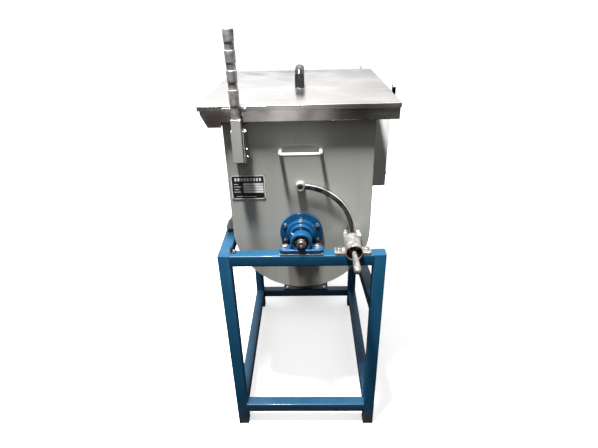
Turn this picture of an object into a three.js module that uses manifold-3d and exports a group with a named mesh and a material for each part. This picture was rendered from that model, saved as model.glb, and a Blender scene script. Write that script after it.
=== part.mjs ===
// Tilting trough tank with a driven agitator, on a square-tube stand.
//
// Millimetres, +Z up. X runs left to right and Y from the front (lever side) to the back (drive side).
// Parts are drawn in stand coordinates: X = 0 midway between the legs, Y = 0 on the front face of the
// front legs and Z = 0 on the floor. The last lines move the whole group so that its origin is the
// bottom centre of its bounding box.

import * as THREE from 'three';
import { mergeVertices } from 'three/addons/utils/BufferGeometryUtils.js';
import Module from 'manifold-3d';

const wasm = await Module();
wasm.setup();

// ---------------------------------------------------------------- driving dimensions

const GAP = 0.3; // running or assembly gap between neighbouring parts

const STAND = { width: 540, depth: 780, height: 800, tube: 40, wall: 2.5, lowRailTop: 110 };
const FOOT = { lip: 2.7, plug: 18 };
const BRACE = { topFront: 594, topBack: 440 };

const PACKER = 5.4; // plate under each pillow block
const BEARING = {
  rise: 36, base: 140, baseH: 14, depth: 38, ringR: 34, ringHalf: 16, boreR: 26, shaftR: 12.5,
};
const BEARING_NECK = { footHalf: 44, halfDepth: 14 };
const BEARING_SLOT = { x: 52.5, r: 6.5 };
// Steps of the bearing housing on each end wall: [radius, distance from the wall].
const FLANGE_STEPS = [[70, 0], [70, 10], [50, 12], [47, 24], [39, 25], [37.5, 36]];
const AXIS_Z = STAND.height + 6 + BEARING.rise; // common axis of the shaft and of the tilting tank

const TANK = { r: 225, wall: 3, front: 88, back: 692, endPlate: 4, top: 1255.2 };
const RIM = { left: -280, right: 286, front: 63, back: 717, top: 1257.5, bottom: 1213.5, sheet: 2 };
const GUTTER = { bottom: 1198, slopeTop: 1236, footX: -262 };
const LID = { left: -287, right: 289, front: 60, back: 720, top: 1260, lip: 14, sheet: 2 };
const LID_HANDLE = { y0: 302, y1: 430, width: 30, height: 62, post: 18, bar: 16 };

const GRAB = { x: 3, span: 122, z: 1119, reachY: 47, rodR: 6, cornerR: 14 };
const LEVER = { x: -175, y: 45, r: 14, bottom: 1103, gripBottom: 1227, steps: [1307, 1357, 1407, 1458] };
const LEVER_BRACKET = { bottom: 1098, top: 1192, front: 38, sheet: 3 };
const PLATE = { x0: -217, x1: -110, z0: 961, z1: 1042, thick: 1.5 };

const LOCK = {
  r: 164, angle: -5, pinR: 8, boreR: 22, tubeR: 27, front: -32, back: 50, seatY: 35.3, baseHalf: 57.5,
};
const LOCK_CHEEK = { thick: 13, front: 34, back: 82, below: 4, above: 22 };
const QUADRANT = { width: 15, y0: 70, y1: 78, endAngle: 84.9 };
const BUSH = { r: 13, boreR: 8.6, front: 67 };
const PIN = { tipY: 66, collarY0: 9, collarY1: 14, collarR: 20, neckY: -26, handleY: -135 };

const PAD = { x0: -262, x1: -232, y0: 163, y1: 193, top: 812 };
const LUG = { x: -266, top: 856, y0: 166, y1: 214 };

const AGITATOR = {
  sleeveR: 20, hubR: 32, hubLength: 56, tipR: 208, bladeHeight: 62, stations: [200, 390, 580],
};
const BELT = { front: 803, back: 819, bigR: 70, smallR: 35, lift: 0.6, thick: 3.4, flange: 6 };
const GUARD = { front: 788, back: 832, clear: 20, sheet: 2 };
const MOTOR_Z = 200;
const DRIVE_BASE = { halfW: 120, front: 742, back: 1085, top: 118, thick: 7.7 };
const GEARBOX = { halfW: 52, front: 846, back: 926 };
const MOTOR = { r: 62, back: 1080, cowlBack: 1122 };

const BOX = { x0: 275.3, x1: 372, doorX: 388, y0: 742, y1: 1002, z0: 724, z1: 1240, sheet: 2 };
const BOX_BRACKET = { width: 60, bottom: 560, top: 1180 };
const ISOLATOR = { y: 790, z: 1150, stemR: 5, headR: 23, reach: 24 };
const START = { y: 872, z: 1150, stemR: 9, headR: 13, reach: 15 };
const STOP = { y: 936, z: 1150, stemR: 9, headR: 19, reach: 24 };
const BUTTON_TRAVEL = 4;

// ---------------------------------------------------------------- materials

const material = (color, roughness, metalness) =>
  new THREE.MeshStandardMaterial({ color, roughness, metalness });
const BLUE = material('#124a82', 0.45, 0.1);
const BEARING_BLUE = material('#0c5a9c', 0.4, 0.1);
const GREY = material('#92938b', 0.5, 0.1);
const STAINLESS = material('#b9b6b2', 0.28, 0.95);
const BARE_STEEL = material('#8e8a86', 0.4, 0.9);
const DARK_STEEL = material('#3b3c3a', 0.5, 0.7);
const BLACK = material('#0f0f10', 0.2, 0);
const RUBBER = material('#151515', 0.85, 0);
const OFF_WHITE = material('#d9dad6', 0.45, 0.1);
const MOTOR_GREY = material('#3f5566', 0.5, 0.2);
const RED = material('#b3171a', 0.35, 0);
const GREEN = material('#1c8a3a', 0.35, 0);

// ---------------------------------------------------------------- shape helpers

const rad = THREE.MathUtils.degToRad;

function toSolid(geometry) {
  const bare = geometry.clone();
  bare.deleteAttribute('normal');
  bare.deleteAttribute('uv');
  const merged = mergeVertices(bare, 1e-4);
  return new wasm.Manifold(new wasm.Mesh({
    numProp: 3,
    vertProperties: Float32Array.from(merged.attributes.position.array),
    triVerts: Uint32Array.from(merged.index.array),
  }));
}

function toGeometry(solid) {
  const mesh = solid.getMesh();
  const geometry = new THREE.BufferGeometry();
  geometry.setAttribute('position', new THREE.BufferAttribute(mesh.vertProperties, 3));
  geometry.setIndex(new THREE.BufferAttribute(mesh.triVerts, 1));
  geometry.computeVertexNormals();
  return geometry;
}

function join(...geometries) {
  const [first, ...rest] = geometries.map(toSolid);
  return toGeometry(rest.reduce((sum, next) => sum.add(next), first));
}

function cut(geometry, ...tools) {
  return toGeometry(tools.map(toSolid).reduce((left, tool) => left.subtract(tool), toSolid(geometry)));
}

function box(x0, x1, y0, y1, z0, z1) {
  const geometry = new THREE.BoxGeometry(x1 - x0, y1 - y0, z1 - z0);
  return geometry.translate((x0 + x1) / 2, (y0 + y1) / 2, (z0 + z1) / 2);
}

// An outline of [x, z] points or a Shape in the XZ plane, made solid from y0 to y1.
function prismY(outline, y0, y1, curveSegments = 12) {
  const shape = outline instanceof THREE.Shape ? outline : polygon(outline);
  const geometry = new THREE.ExtrudeGeometry(shape, { depth: y1 - y0, bevelEnabled: false, curveSegments });
  return geometry.rotateX(Math.PI / 2).translate(0, y1, 0);
}

// An outline of [y, z] points in the YZ plane, made solid from x0 to x1.
function prismX(outline, x0, x1) {
  const shape = outline instanceof THREE.Shape ? outline : polygon(outline);
  const geometry = new THREE.ExtrudeGeometry(shape, { depth: x1 - x0, bevelEnabled: false });
  const turn = new THREE.Matrix4().makeBasis(
    new THREE.Vector3(0, 1, 0), new THREE.Vector3(0, 0, 1), new THREE.Vector3(1, 0, 0));
  return geometry.applyMatrix4(turn).translate(x0, 0, 0);
}

function polygon(points) {
  return new THREE.Shape(points.map(([u, v]) => new THREE.Vector2(u, v)));
}

// A profile of [radius, distance] points turned about the Y axis through (x, z), distances being Y.
function turnedY(profile, x = 0, z = 0, segments = 24) {
  const points = profile.map(([r, d]) => new THREE.Vector2(r, d));
  return new THREE.LatheGeometry(points, segments).translate(x, 0, z);
}

// The same profile turned about a vertical axis through (x, y), distances being Z.
function turnedZ(profile, x, y, segments = 24) {
  const points = profile.map(([r, d]) => new THREE.Vector2(r, d));
  return new THREE.LatheGeometry(points, segments).rotateX(Math.PI / 2).translate(x, y, 0);
}

// The same profile turned about the X direction through (y, z), distances being X.
function turnedX(profile, y, z, segments = 24) {
  const points = profile.map(([r, d]) => new THREE.Vector2(r, d));
  return new THREE.LatheGeometry(points, segments).rotateZ(-Math.PI / 2).translate(0, y, z);
}

const solidBarY = (r, y0, y1, x, z, segments) =>
  turnedY([[0, y0], [r, y0], [r, y1], [0, y1]], x, z, segments);
const ringY = (inner, outer, y0, y1, x, z, segments) =>
  turnedY([[inner, y0], [outer, y0], [outer, y1], [inner, y1], [inner, y0]], x, z, segments);

function named(name, geometry, meshMaterial) {
  const mesh = new THREE.Mesh(geometry, meshMaterial);
  mesh.name = name;
  return mesh;
}

function groupOf(...meshes) {
  const group = new THREE.Group();
  meshes.forEach((mesh) => group.add(mesh));
  return group;
}

// ---------------------------------------------------------------- stand

// A length of square tube along Z, open at both ends, centred on its own axis.
function squareTube(length) {
  const half = STAND.tube / 2;
  const inner = half - STAND.wall;
  const section = polygon([[-half, -half], [half, -half], [half, half], [-half, half]]);
  section.holes.push(polygon([[-inner, -inner], [-inner, inner], [inner, inner], [inner, -inner]]));
  return new THREE.ExtrudeGeometry(section, { depth: length, bevelEnabled: false });
}

function leg() {
  const half = STAND.tube / 2;
  const inner = half - STAND.wall;
  const bottom = FOOT.lip + GAP;
  return cut(
    box(-half, half, -half, half, bottom, STAND.height),
    box(-inner, inner, -inner, inner, bottom - 1, STAND.height - STAND.wall));
}

function foot() {
  const half = STAND.tube / 2;
  const plug = half - STAND.wall - GAP;
  return join(
    box(-half, half, -half, half, 0, FOOT.lip),
    box(-plug, plug, -plug, plug, FOOT.lip - 1, FOOT.plug));
}

function standCorners() {
  const x = (STAND.width - STAND.tube) / 2;
  const front = STAND.tube / 2;
  const back = STAND.depth - STAND.tube / 2;
  return [
    ['front_left', -x, front], ['front_right', x, front],
    ['rear_left', -x, back], ['rear_right', x, back]];
}

function railAcross(name, y, top) {
  const length = STAND.width - 2 * STAND.tube - 2 * GAP;
  const mesh = named(name, squareTube(length), BLUE);
  mesh.rotation.y = Math.PI / 2;
  mesh.position.set(-length / 2, y, top - STAND.tube / 2);
  return mesh;
}

function railAlong(name, x, top) {
  const length = STAND.depth - 2 * STAND.tube - 2 * GAP;
  const mesh = named(name, squareTube(length), BLUE);
  mesh.rotation.x = -Math.PI / 2;
  mesh.position.set(x, STAND.tube + GAP, top - STAND.tube / 2);
  return mesh;
}

// The sloping tube between the two right legs that takes the place of a top side rail.
function slopingBrace() {
  const y0 = STAND.tube + GAP;
  const y1 = STAND.depth - STAND.tube - GAP;
  const x1 = STAND.width / 2;
  const x0 = x1 - STAND.tube;
  const slope = (BRACE.topBack - BRACE.topFront) / (y1 - y0);
  const wall = STAND.wall;
  const band = (from, to, top, bottom) => [
    [from, BRACE.topFront + slope * (from - y0) - bottom], [to, BRACE.topFront + slope * (to - y0) - bottom],
    [to, BRACE.topFront + slope * (to - y0) - top], [from, BRACE.topFront + slope * (from - y0) - top]];
  return cut(
    prismX(band(y0, y1, 0, STAND.tube), x0, x1),
    prismX(band(y0 - 5, y1 + 5, wall, STAND.tube - wall), x0 + wall, x1 - wall));
}

function buildStand() {
  const stand = groupOf();
  for (const [corner, x, y] of standCorners()) {
    const legMesh = named(`leg_${corner}`, leg(), BLUE);
    legMesh.position.set(x, y, 0);
    const footMesh = named(`foot_${corner}`, foot(), RUBBER);
    footMesh.position.set(x, y, 0);
    stand.add(legMesh, footMesh);
  }
  const front = STAND.tube / 2;
  const back = STAND.depth - STAND.tube / 2;
  const side = (STAND.width - STAND.tube) / 2;
  stand.add(
    railAcross('rail_top_front', front, STAND.height),
    railAcross('rail_top_rear', back, STAND.height),
    railAlong('rail_top_left', -side, STAND.height),
    railAcross('rail_low_front', front, STAND.lowRailTop),
    railAcross('rail_low_rear', back, STAND.lowRailTop),
    railAlong('rail_low_left', -side, STAND.lowRailTop),
    railAlong('rail_low_right', side, STAND.lowRailTop),
    named('brace_right', slopingBrace(), BLUE),
    named('rest_pad', box(PAD.x0, PAD.x1, PAD.y0, PAD.y1, STAND.height + GAP, PAD.top), RUBBER));
  return stand;
}

// ---------------------------------------------------------------- shaft bearings

// Pillow block housing, seen along its shaft: a slotted base, a neck and a bored ring.
function pillowBlock(y) {
  const { rise, base, baseH, depth, ringR, ringHalf, boreR } = BEARING;
  const { footHalf, halfDepth } = BEARING_NECK;
  const bottom = AXIS_Z - rise;
  const neck = polygon([[-footHalf, bottom + 4], [footHalf, bottom + 4], [ringR, AXIS_Z], [-ringR, AXIS_Z]]);
  const body = join(
    box(-base / 2, base / 2, y - depth / 2, y + depth / 2, bottom, bottom + baseH),
    prismY(neck, y - halfDepth, y + halfDepth),
    solidBarY(ringR, y - ringHalf, y + ringHalf, 0, AXIS_Z, 28));
  const slotR = BEARING_SLOT.r;
  const slots = [-BEARING_SLOT.x, BEARING_SLOT.x].map((x) => turnedZ(
    [[0, bottom - 1], [slotR, bottom - 1], [slotR, bottom + baseH + 1], [0, bottom + baseH + 1]], x, y, 16));
  return cut(body, solidBarY(boreR, y - depth, y + depth, 0, AXIS_Z, 24), ...slots);
}

// Ball bearing insert: wide inner ring round the shaft, narrow outer ring in the housing.
function bearingInsert(y) {
  const bore = BEARING.shaftR + GAP;
  const outer = BEARING.boreR - GAP;
  return turnedY([
    [bore, y - 17], [17, y - 17], [17, y - 9], [outer, y - 8], [outer, y + 8], [17, y + 9], [17, y + 17],
    [bore, y + 17], [bore, y - 17]], 0, AXIS_Z, 24);
}

function packer(y) {
  const z0 = STAND.height + GAP;
  const { base, depth } = BEARING;
  return box(-base / 2, base / 2, y - depth / 2, y + depth / 2, z0, z0 + PACKER);
}

function buildBearings() {
  const group = groupOf();
  for (const [end, y] of [['front', STAND.tube / 2], ['rear', STAND.depth - STAND.tube / 2]]) {
    group.add(
      named(`bearing_block_${end}`, pillowBlock(y), BEARING_BLUE),
      named(`bearing_insert_${end}`, bearingInsert(y), BARE_STEEL),
      named(`packer_${end}`, packer(y), BARE_STEEL));
  }
  return group;
}

// ---------------------------------------------------------------- tank

// U-shaped outline about the tilt axis, open side up.
function troughPath(path, r, top) {
  path.moveTo(r, top);
  path.lineTo(-r, top);
  path.lineTo(-r, AXIS_Z);
  path.absarc(0, AXIS_Z, r, Math.PI, 2 * Math.PI, false);
  path.lineTo(r, top);
  return path;
}

function tankShell() {
  const inner = TANK.r - TANK.wall;
  const shape = new THREE.Shape();
  shape.moveTo(TANK.r, TANK.top);
  shape.lineTo(inner, TANK.top);
  shape.lineTo(inner, AXIS_Z);
  shape.absarc(0, AXIS_Z, inner, 0, -Math.PI, true);
  shape.lineTo(-inner, TANK.top);
  shape.lineTo(-TANK.r, TANK.top);
  shape.lineTo(-TANK.r, AXIS_Z);
  shape.absarc(0, AXIS_Z, TANK.r, Math.PI, 2 * Math.PI, false);
  shape.lineTo(TANK.r, TANK.top);
  return prismY(shape, TANK.front + TANK.endPlate + GAP, TANK.back - TANK.endPlate - GAP, 20);
}

function tankEnd(y0) {
  const shape = troughPath(new THREE.Shape(), TANK.r, TANK.top);
  const hole = new THREE.Path();
  hole.absarc(0, AXIS_Z, BEARING.shaftR + 1, 0, 2 * Math.PI, true);
  shape.holes.push(hole);
  return prismY(shape, y0, y0 + TANK.endPlate, 18);
}

// Flanged bearing housing on an end wall: disc against the wall, two steps towards the pillow block.
// The direction is -1 at the front wall and +1 at the rear wall.
function wallFlange(wallY, direction) {
  const at = (distance) => wallY + direction * (GAP + distance);
  const bore = BEARING.shaftR + GAP;
  const steps = FLANGE_STEPS.map(([r, distance]) => [r, at(distance)]);
  const face = steps.at(-1)[1];
  const profile = [[bore, at(0)], ...steps, [bore, face], [bore, at(0)]];
  return turnedY(direction > 0 ? profile : profile.reverse(), 0, AXIS_Z, 28);
}

// End plate of the rim: it also closes the gutter, so its left end hangs lower.
function rimEnd(y0) {
  const { left, right, top, bottom, sheet } = RIM;
  return prismY([
    [right, bottom], [right, top], [left, top], [left, GUTTER.slopeTop], [GUTTER.footX, GUTTER.bottom],
    [-TANK.r + 3, GUTTER.bottom], [-TANK.r + 3, bottom]], y0, y0 + sheet);
}

function rimFrame() {
  const { left, right, front, back, top, bottom, sheet } = RIM;
  const inner = TANK.r - TANK.wall;
  const wallTop = -inner - 6;
  return join(
    rimEnd(front),
    rimEnd(back - sheet),
    box(right - sheet, right, front, back, bottom, top),
    box(left, right, front, TANK.front + TANK.endPlate, top - sheet, top),
    box(left, right, TANK.back - TANK.endPlate, back, top - sheet, top),
    box(inner, right, front, back, top - sheet, top),
    box(wallTop, -inner, front, back, top - sheet, top));
}

// Folded sheet hung outside the left wall: outer wall, sloping corner and floor.
function sideGutter() {
  const { left, sheet, front, back } = RIM;
  const { bottom, slopeTop, footX } = GUTTER;
  const wallX = -TANK.r - GAP;
  return prismY([
    [left, TANK.top], [left, slopeTop], [footX, bottom], [wallX, bottom],
    [wallX, bottom + sheet], [footX + 1.3, bottom + sheet],
    [left + sheet, slopeTop + 0.5], [left + sheet, TANK.top]],
  front + sheet + GAP, back - sheet - GAP);
}

// A round rod bent into a square-cornered loop that stands off the front wall.
function grabHandle() {
  const { span, z, reachY, rodR, cornerR } = GRAB;
  const x = span / 2;
  const wallY = TANK.front - GAP;
  const at = (px, py) => new THREE.Vector3(GRAB.x + px, py, z);
  const path = new THREE.CurvePath();
  path.add(new THREE.LineCurve3(at(-x, wallY), at(-x, reachY + cornerR)));
  path.add(new THREE.QuadraticBezierCurve3(
    at(-x, reachY + cornerR), at(-x, reachY), at(-x + cornerR, reachY)));
  path.add(new THREE.LineCurve3(at(-x + cornerR, reachY), at(x - cornerR, reachY)));
  path.add(new THREE.QuadraticBezierCurve3(at(x - cornerR, reachY), at(x, reachY), at(x, reachY + cornerR)));
  path.add(new THREE.LineCurve3(at(x, reachY + cornerR), at(x, wallY)));
  const section = new THREE.Shape().absarc(0, 0, rodR, 0, 2 * Math.PI, false);
  return new THREE.ExtrudeGeometry(section, { steps: 22, curveSegments: 5, extrudePath: path });
}

function lockPoint(angle) {
  return [LOCK.r * Math.cos(rad(angle)), AXIS_Z + LOCK.r * Math.sin(rad(angle))];
}

function lockBush(angle) {
  const [x, z] = lockPoint(angle);
  return ringY(BUSH.boreR, BUSH.r, BUSH.front, TANK.front - GAP, x, z, 20);
}

// Flat arc about the tilt axis, welded at its lower end to the bush that the bolt enters upright.
function quadrantBar() {
  const half = QUADRANT.width / 2;
  const arc = new THREE.Shape();
  const from = rad(LOCK.angle);
  const to = rad(QUADRANT.endAngle);
  arc.absarc(0, AXIS_Z, LOCK.r + half, from, to, false);
  arc.absarc(0, AXIS_Z, LOCK.r - half, to, from, true);
  arc.closePath();
  const [x, z] = lockPoint(LOCK.angle);
  const bore = solidBarY(BUSH.boreR, BUSH.front - 5, TANK.front + 5, x, z, 20);
  return cut(join(prismY(arc, QUADRANT.y0, QUADRANT.y1, 12), lockBush(LOCK.angle)), bore);
}

function leverBracket() {
  const { bottom, top, front, sheet } = LEVER_BRACKET;
  const inner = LEVER.r + 1;
  const wallY = TANK.front - GAP;
  const x0 = LEVER.x - inner;
  const x1 = LEVER.x + inner;
  const cheek = [[front, bottom], [wallY, bottom - 12], [wallY, top + 12], [front, top]];
  return join(
    prismX(cheek, x0 - sheet, x0),
    prismX(cheek, x1, x1 + sheet),
    box(x0 - sheet, x1 + sheet, wallY - 5, wallY, bottom - 12, top + 12));
}

// Grip of four stacked tapers: each one is widest at its top and steps in to the next one's neck.
function leverGrip() {
  const neck = 12.2;
  const crown = 14.8;
  const profile = [[0, LEVER.gripBottom], [neck, LEVER.gripBottom]];
  for (const z of LEVER.steps) {
    profile.push([crown, z - 3], [crown, z - 1], [neck, z]);
  }
  profile.push([0, LEVER.steps.at(-1)]);
  return turnedZ(profile, LEVER.x, LEVER.y, 16);
}

function restLug() {
  const wallX = -TANK.r - GAP;
  const bottom = PAD.top + GAP;
  return prismY([
    [wallX, bottom], [wallX, LUG.top], [wallX - 6, LUG.top], [LUG.x, bottom + 8], [LUG.x, bottom]],
    LUG.y0, LUG.y1);
}

function buildTank() {
  const { x0, x1, z0, z1, thick } = PLATE;
  const wallY = TANK.front - GAP;
  const leverBar = turnedZ([
    [0, LEVER.bottom], [LEVER.r, LEVER.bottom], [LEVER.r, LEVER.gripBottom - GAP],
    [0, LEVER.gripBottom - GAP]], LEVER.x, LEVER.y, 20);
  return groupOf(
    named('tank_shell', tankShell(), GREY),
    named('tank_front_wall', tankEnd(TANK.front), GREY),
    named('tank_rear_wall', tankEnd(TANK.back - TANK.endPlate), GREY),
    named('wall_flange_front', wallFlange(TANK.front, -1), BEARING_BLUE),
    named('wall_flange_rear', wallFlange(TANK.back, 1), BEARING_BLUE),
    named('rim_frame', rimFrame(), STAINLESS),
    named('side_gutter', sideGutter(), STAINLESS),
    named('rest_lug', restLug(), GREY),
    named('grab_handle', grabHandle(), GREY),
    named('quadrant_bar', quadrantBar(), DARK_STEEL),
    named('lock_bush', lockBush(90), GREY),
    named('lever_bracket', leverBracket(), GREY),
    named('tilt_lever', leverBar, GREY),
    named('lever_grip', leverGrip(), BARE_STEEL),
    named('nameplate', box(x0, x1, wallY - thick, wallY, z0, z1), DARK_STEEL));
}

// ---------------------------------------------------------------- lid

function lidPanel() {
  const { left, right, front, back, top, lip, sheet } = LID;
  return cut(
    box(left, right, front, back, top - lip, top),
    box(left + sheet, right - sheet, front + sheet, back - sheet, top - lip - 1, top - sheet));
}

// Bridge handle: two posts and a bar with sloping shoulders.
function lidHandle() {
  const { y0, y1, width, height, post, bar } = LID_HANDLE;
  const z0 = LID.top + GAP;
  const z1 = z0 + height;
  const bridge = polygon([
    [y0, z0], [y0 + post + 3, z0], [y0 + post + 3, z1 - bar - 6], [y0 + post + 9, z1 - bar],
    [y1 - post - 9, z1 - bar], [y1 - post - 3, z1 - bar - 6], [y1 - post - 3, z0], [y1, z0],
    [y1 - 2, z1 - 16], [y1 - 16, z1 - 2], [y1 - 26, z1],
    [y0 + 26, z1], [y0 + 16, z1 - 2], [y0 + 2, z1 - 16]]);
  return prismX(bridge, -width / 2, width / 2);
}

function buildLid() {
  return groupOf(
    named('lid_panel', lidPanel(), STAINLESS),
    named('lid_handle', lidHandle(), BLACK));
}

// ---------------------------------------------------------------- agitator

function agitatorShaft() {
  const { shaftR } = BEARING;
  const inFront = TANK.front + TANK.endPlate + 8;
  const inBack = TANK.back - TANK.endPlate - 8;
  return turnedY([
    [0, -4], [shaftR - 1.5, -4], [shaftR, -2.5], [shaftR, inFront], [AGITATOR.sleeveR, inFront],
    [AGITATOR.sleeveR, inBack], [shaftR, inBack], [shaftR, 826], [0, 826]], 0, AXIS_Z, 28);
}

// Clamped hub with two opposite arms that end in cranked blades.
function paddle(y, turn) {
  const { sleeveR, hubR, hubLength, tipR, bladeHeight } = AGITATOR;
  const half = hubLength / 2;
  const arm = box(-6, 6, -18, 18, hubR - 6, tipR - 30);
  const blade = box(-4, 4, -62, 62, tipR - bladeHeight, tipR - 1);
  blade.translate(0, 0, -tipR + bladeHeight / 2).rotateZ(rad(28)).translate(0, 0, tipR - bladeHeight / 2);
  const oneSide = join(arm, blade);
  const otherSide = oneSide.clone().rotateY(Math.PI);
  const hub = solidBarY(hubR, -half, half, 0, 0, 24);
  const bore = solidBarY(sleeveR + GAP, -half - 1, half + 1, 0, 0, 28);
  return cut(join(hub, oneSide, otherSide), bore).rotateY(rad(turn)).translate(0, y, AXIS_Z);
}

// Flat pulley with a flange at each edge, on a hub of its own.
function pulley(r, hubR, bore, axisZ) {
  const { front, back, flange } = BELT;
  const rim = r + flange;
  return turnedY([
    [bore, front - 8], [hubR, front - 8], [hubR, front - 3], [rim, front - 3], [rim, front - GAP],
    [r, front - GAP], [r, back + GAP], [rim, back + GAP], [rim, back + 3], [bore, back + 3],
    [bore, front - 8]], 0, axisZ, 28);
}

function buildAgitator() {
  const group = groupOf(named('agitator_shaft', agitatorShaft(), STAINLESS));
  AGITATOR.stations.forEach((y, i) => {
    group.add(named(`paddle_${i + 1}`, paddle(y, 60 * i), STAINLESS));
  });
  group.add(named('driven_pulley', pulley(BELT.bigR, 26, BEARING.shaftR + GAP, AXIS_Z), DARK_STEEL));
  return group;
}

// ---------------------------------------------------------------- drive

// Outline of a band wrapped round the two pulleys, grown outwards by an offset.
function beltPath(path, offset) {
  const distance = AXIS_Z - MOTOR_Z;
  const lean = Math.asin((BELT.bigR - BELT.smallR) / distance);
  path.absarc(0, AXIS_Z, BELT.bigR + offset, lean, Math.PI - lean, false);
  path.absarc(0, MOTOR_Z, BELT.smallR + offset, Math.PI - lean, 2 * Math.PI + lean, false);
  path.closePath();
  return path;
}

function beltLoop() {
  const band = beltPath(new THREE.Shape(), BELT.lift + BELT.thick);
  band.holes.push(beltPath(new THREE.Path(), BELT.lift));
  return prismY(band, BELT.front, BELT.back, 12);
}

// Sheet tray over the belt and pulleys, open towards the stand.
function beltGuard() {
  const { front, back, clear, sheet } = GUARD;
  const outer = prismY(beltPath(new THREE.Shape(), clear), front, back, 12);
  const hollow = prismY(beltPath(new THREE.Shape(), clear - sheet), front - 5, back - sheet, 12);
  const shaftHole = solidBarY(31, back - 10, back + 10, 0, MOTOR_Z, 24);
  const tray = cut(outer, shaftHole);
  const tabs = [-1, 1].map((side) => {
    const x = side * (BELT.bigR + clear - 3);
    return box(x - 9, x + 9, STAND.depth + GAP, front + 14, STAND.height - 34, STAND.height - 8);
  });
  const footPiece = box(-30, 30, front, back, DRIVE_BASE.top + GAP, MOTOR_Z - BELT.smallR - clear + 3);
  return cut(join(tray, ...tabs, footPiece), hollow);
}

function driveBase() {
  const { halfW, front, back, top, thick } = DRIVE_BASE;
  const bottom = top - thick;
  const behind = STAND.depth + GAP;
  const gusset = [
    [behind, bottom + 2], [behind, STAND.lowRailTop - STAND.tube + 2], [behind + 20, bottom - 36],
    [back - 60, bottom - 6], [back - 60, bottom + 2]];
  return join(
    box(-halfW, halfW, front, back, bottom, top),
    prismX(gusset, -halfW + 20, -halfW + 26),
    prismX(gusset, halfW - 26, halfW - 20));
}

function gearbox() {
  const { halfW, front, back } = GEARBOX;
  const base = DRIVE_BASE.top + GAP;
  const top = MOTOR_Z + 62;
  const c = 14;
  const section = [[-halfW, base + 20], [-halfW + c, base + 8], [halfW - c, base + 8], [halfW, base + 20],
    [halfW, top - c], [halfW - c, top], [-halfW + c, top], [-halfW, top - c]];
  return cut(
    join(
      prismY(section, front, back),
      box(-halfW - 16, halfW + 16, front + 4, back - 4, base, base + 10),
      solidBarY(28, GUARD.back - 1, front + 2, 0, MOTOR_Z, 28)),
    solidBarY(10.4, GUARD.back - 5, front + 6, 0, MOTOR_Z, 20));
}

function motorBody() {
  const { r, back } = MOTOR;
  const front = GEARBOX.back + GAP;
  const base = DRIVE_BASE.top + GAP;
  const body = turnedY([
    [0, front], [r + 8, front], [r + 8, front + 10], [r, front + 14],
    [r, back - 12], [r - 6, back], [0, back]],
  0, MOTOR_Z, 28);
  return join(
    body,
    box(-r, r, front + 30, back - 40, base, base + 8),
    box(-r + 12, -r + 22, front + 36, back - 46, base + 4, MOTOR_Z - 30),
    box(r - 22, r - 12, front + 36, back - 46, base + 4, MOTOR_Z - 30),
    box(-34, 34, front + 34, front + 106, MOTOR_Z + 40, MOTOR_Z + 92));
}

function fanCowl() {
  const { r, back, cowlBack } = MOTOR;
  const outer = r + 2;
  return turnedY([
    [0, cowlBack], [0, cowlBack - 2], [outer - 8, cowlBack - 2],
    [outer - 2, cowlBack - 8], [outer - 2, back + GAP],
    [outer, back + GAP], [outer, cowlBack - 8], [outer - 8, cowlBack], [0, cowlBack]], 0, MOTOR_Z, 28);
}

function motorPulley() {
  const shaft = turnedY([
    [0, BELT.front - 10], [9, BELT.front - 10], [10, BELT.front - 9],
    [10, GEARBOX.front + 5], [0, GEARBOX.front + 5]],
  0, MOTOR_Z, 20);
  return join(pulley(BELT.smallR, 20, 8, MOTOR_Z), shaft);
}

function buildDrive() {
  return groupOf(
    named('drive_base', driveBase(), BLUE),
    named('gearbox', gearbox(), MOTOR_GREY),
    named('motor_body', motorBody(), MOTOR_GREY),
    named('motor_fan_cowl', fanCowl(), MOTOR_GREY),
    named('motor_pulley', motorPulley(), DARK_STEEL),
    named('drive_belt', beltLoop(), RUBBER),
    named('belt_guard', beltGuard(), BLUE));
}

// ---------------------------------------------------------------- tilt lock

// Bolted base, bored tube for the bolt and two cheeks that guide the quadrant bar.
function lockHousing() {
  const [x, z] = lockPoint(LOCK.angle);
  const { front, back, tubeR, boreR, seatY, pinR, baseHalf } = LOCK;
  const base = STAND.height + GAP;
  const slotHalf = BUSH.r + 2;
  const cheeks = [-1, 1].map((side) => {
    const near = x + side * slotHalf;
    const far = near + side * LOCK_CHEEK.thick;
    return box(Math.min(near, far), Math.max(near, far), LOCK_CHEEK.front, LOCK_CHEEK.back,
      z - LOCK_CHEEK.below, z + LOCK_CHEEK.above);
  });
  return cut(
    join(
      box(x - baseHalf, x + baseHalf, 1, 39, base, base + 8),
      solidBarY(tubeR, front, back, x, z, 28),
      ...cheeks),
    solidBarY(boreR, front - 5, seatY, x, z, 24),
    solidBarY(pinR + GAP + 0.1, front, back + 10, x, z, 20));
}

// Sliding bolt, its collar and its tapered pull, turned in one piece.
function lockPin() {
  const [x, z] = lockPoint(LOCK.angle);
  const { tipY, collarY0, collarY1, collarR, neckY, handleY } = PIN;
  const r = LOCK.pinR;
  return turnedY([
    [0, handleY], [7, handleY], [11.5, handleY + 5], [12.5, handleY + 16], [6.5, neckY], [r, neckY + 6],
    [r, collarY0], [collarR, collarY0], [collarR, collarY1], [r, collarY1], [r, tipY - 3], [r - 3, tipY],
    [0, tipY]], x, z, 18);
}

function buildLock() {
  return groupOf(
    named('lock_housing', lockHousing(), BARE_STEEL),
    named('lock_pin', lockPin(), BARE_STEEL));
}

// ---------------------------------------------------------------- control box

function controlTub() {
  const { x0, x1, y0, y1, z0, z1, sheet } = BOX;
  return cut(
    box(x0, x1, y0, y1, z0, z1),
    box(x0 + sheet, x1 + 5, y0 + sheet, y1 - sheet, z0 + sheet, z1 - sheet));
}

// Flat bar up the outside of the rear right leg that the box is bolted to.
function boxBracket() {
  const { width, bottom, top } = BOX_BRACKET;
  return box(STAND.width / 2 + GAP, BOX.x0 - GAP, BOX.y0 + 2, BOX.y0 + 2 + width, bottom, top);
}

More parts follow.
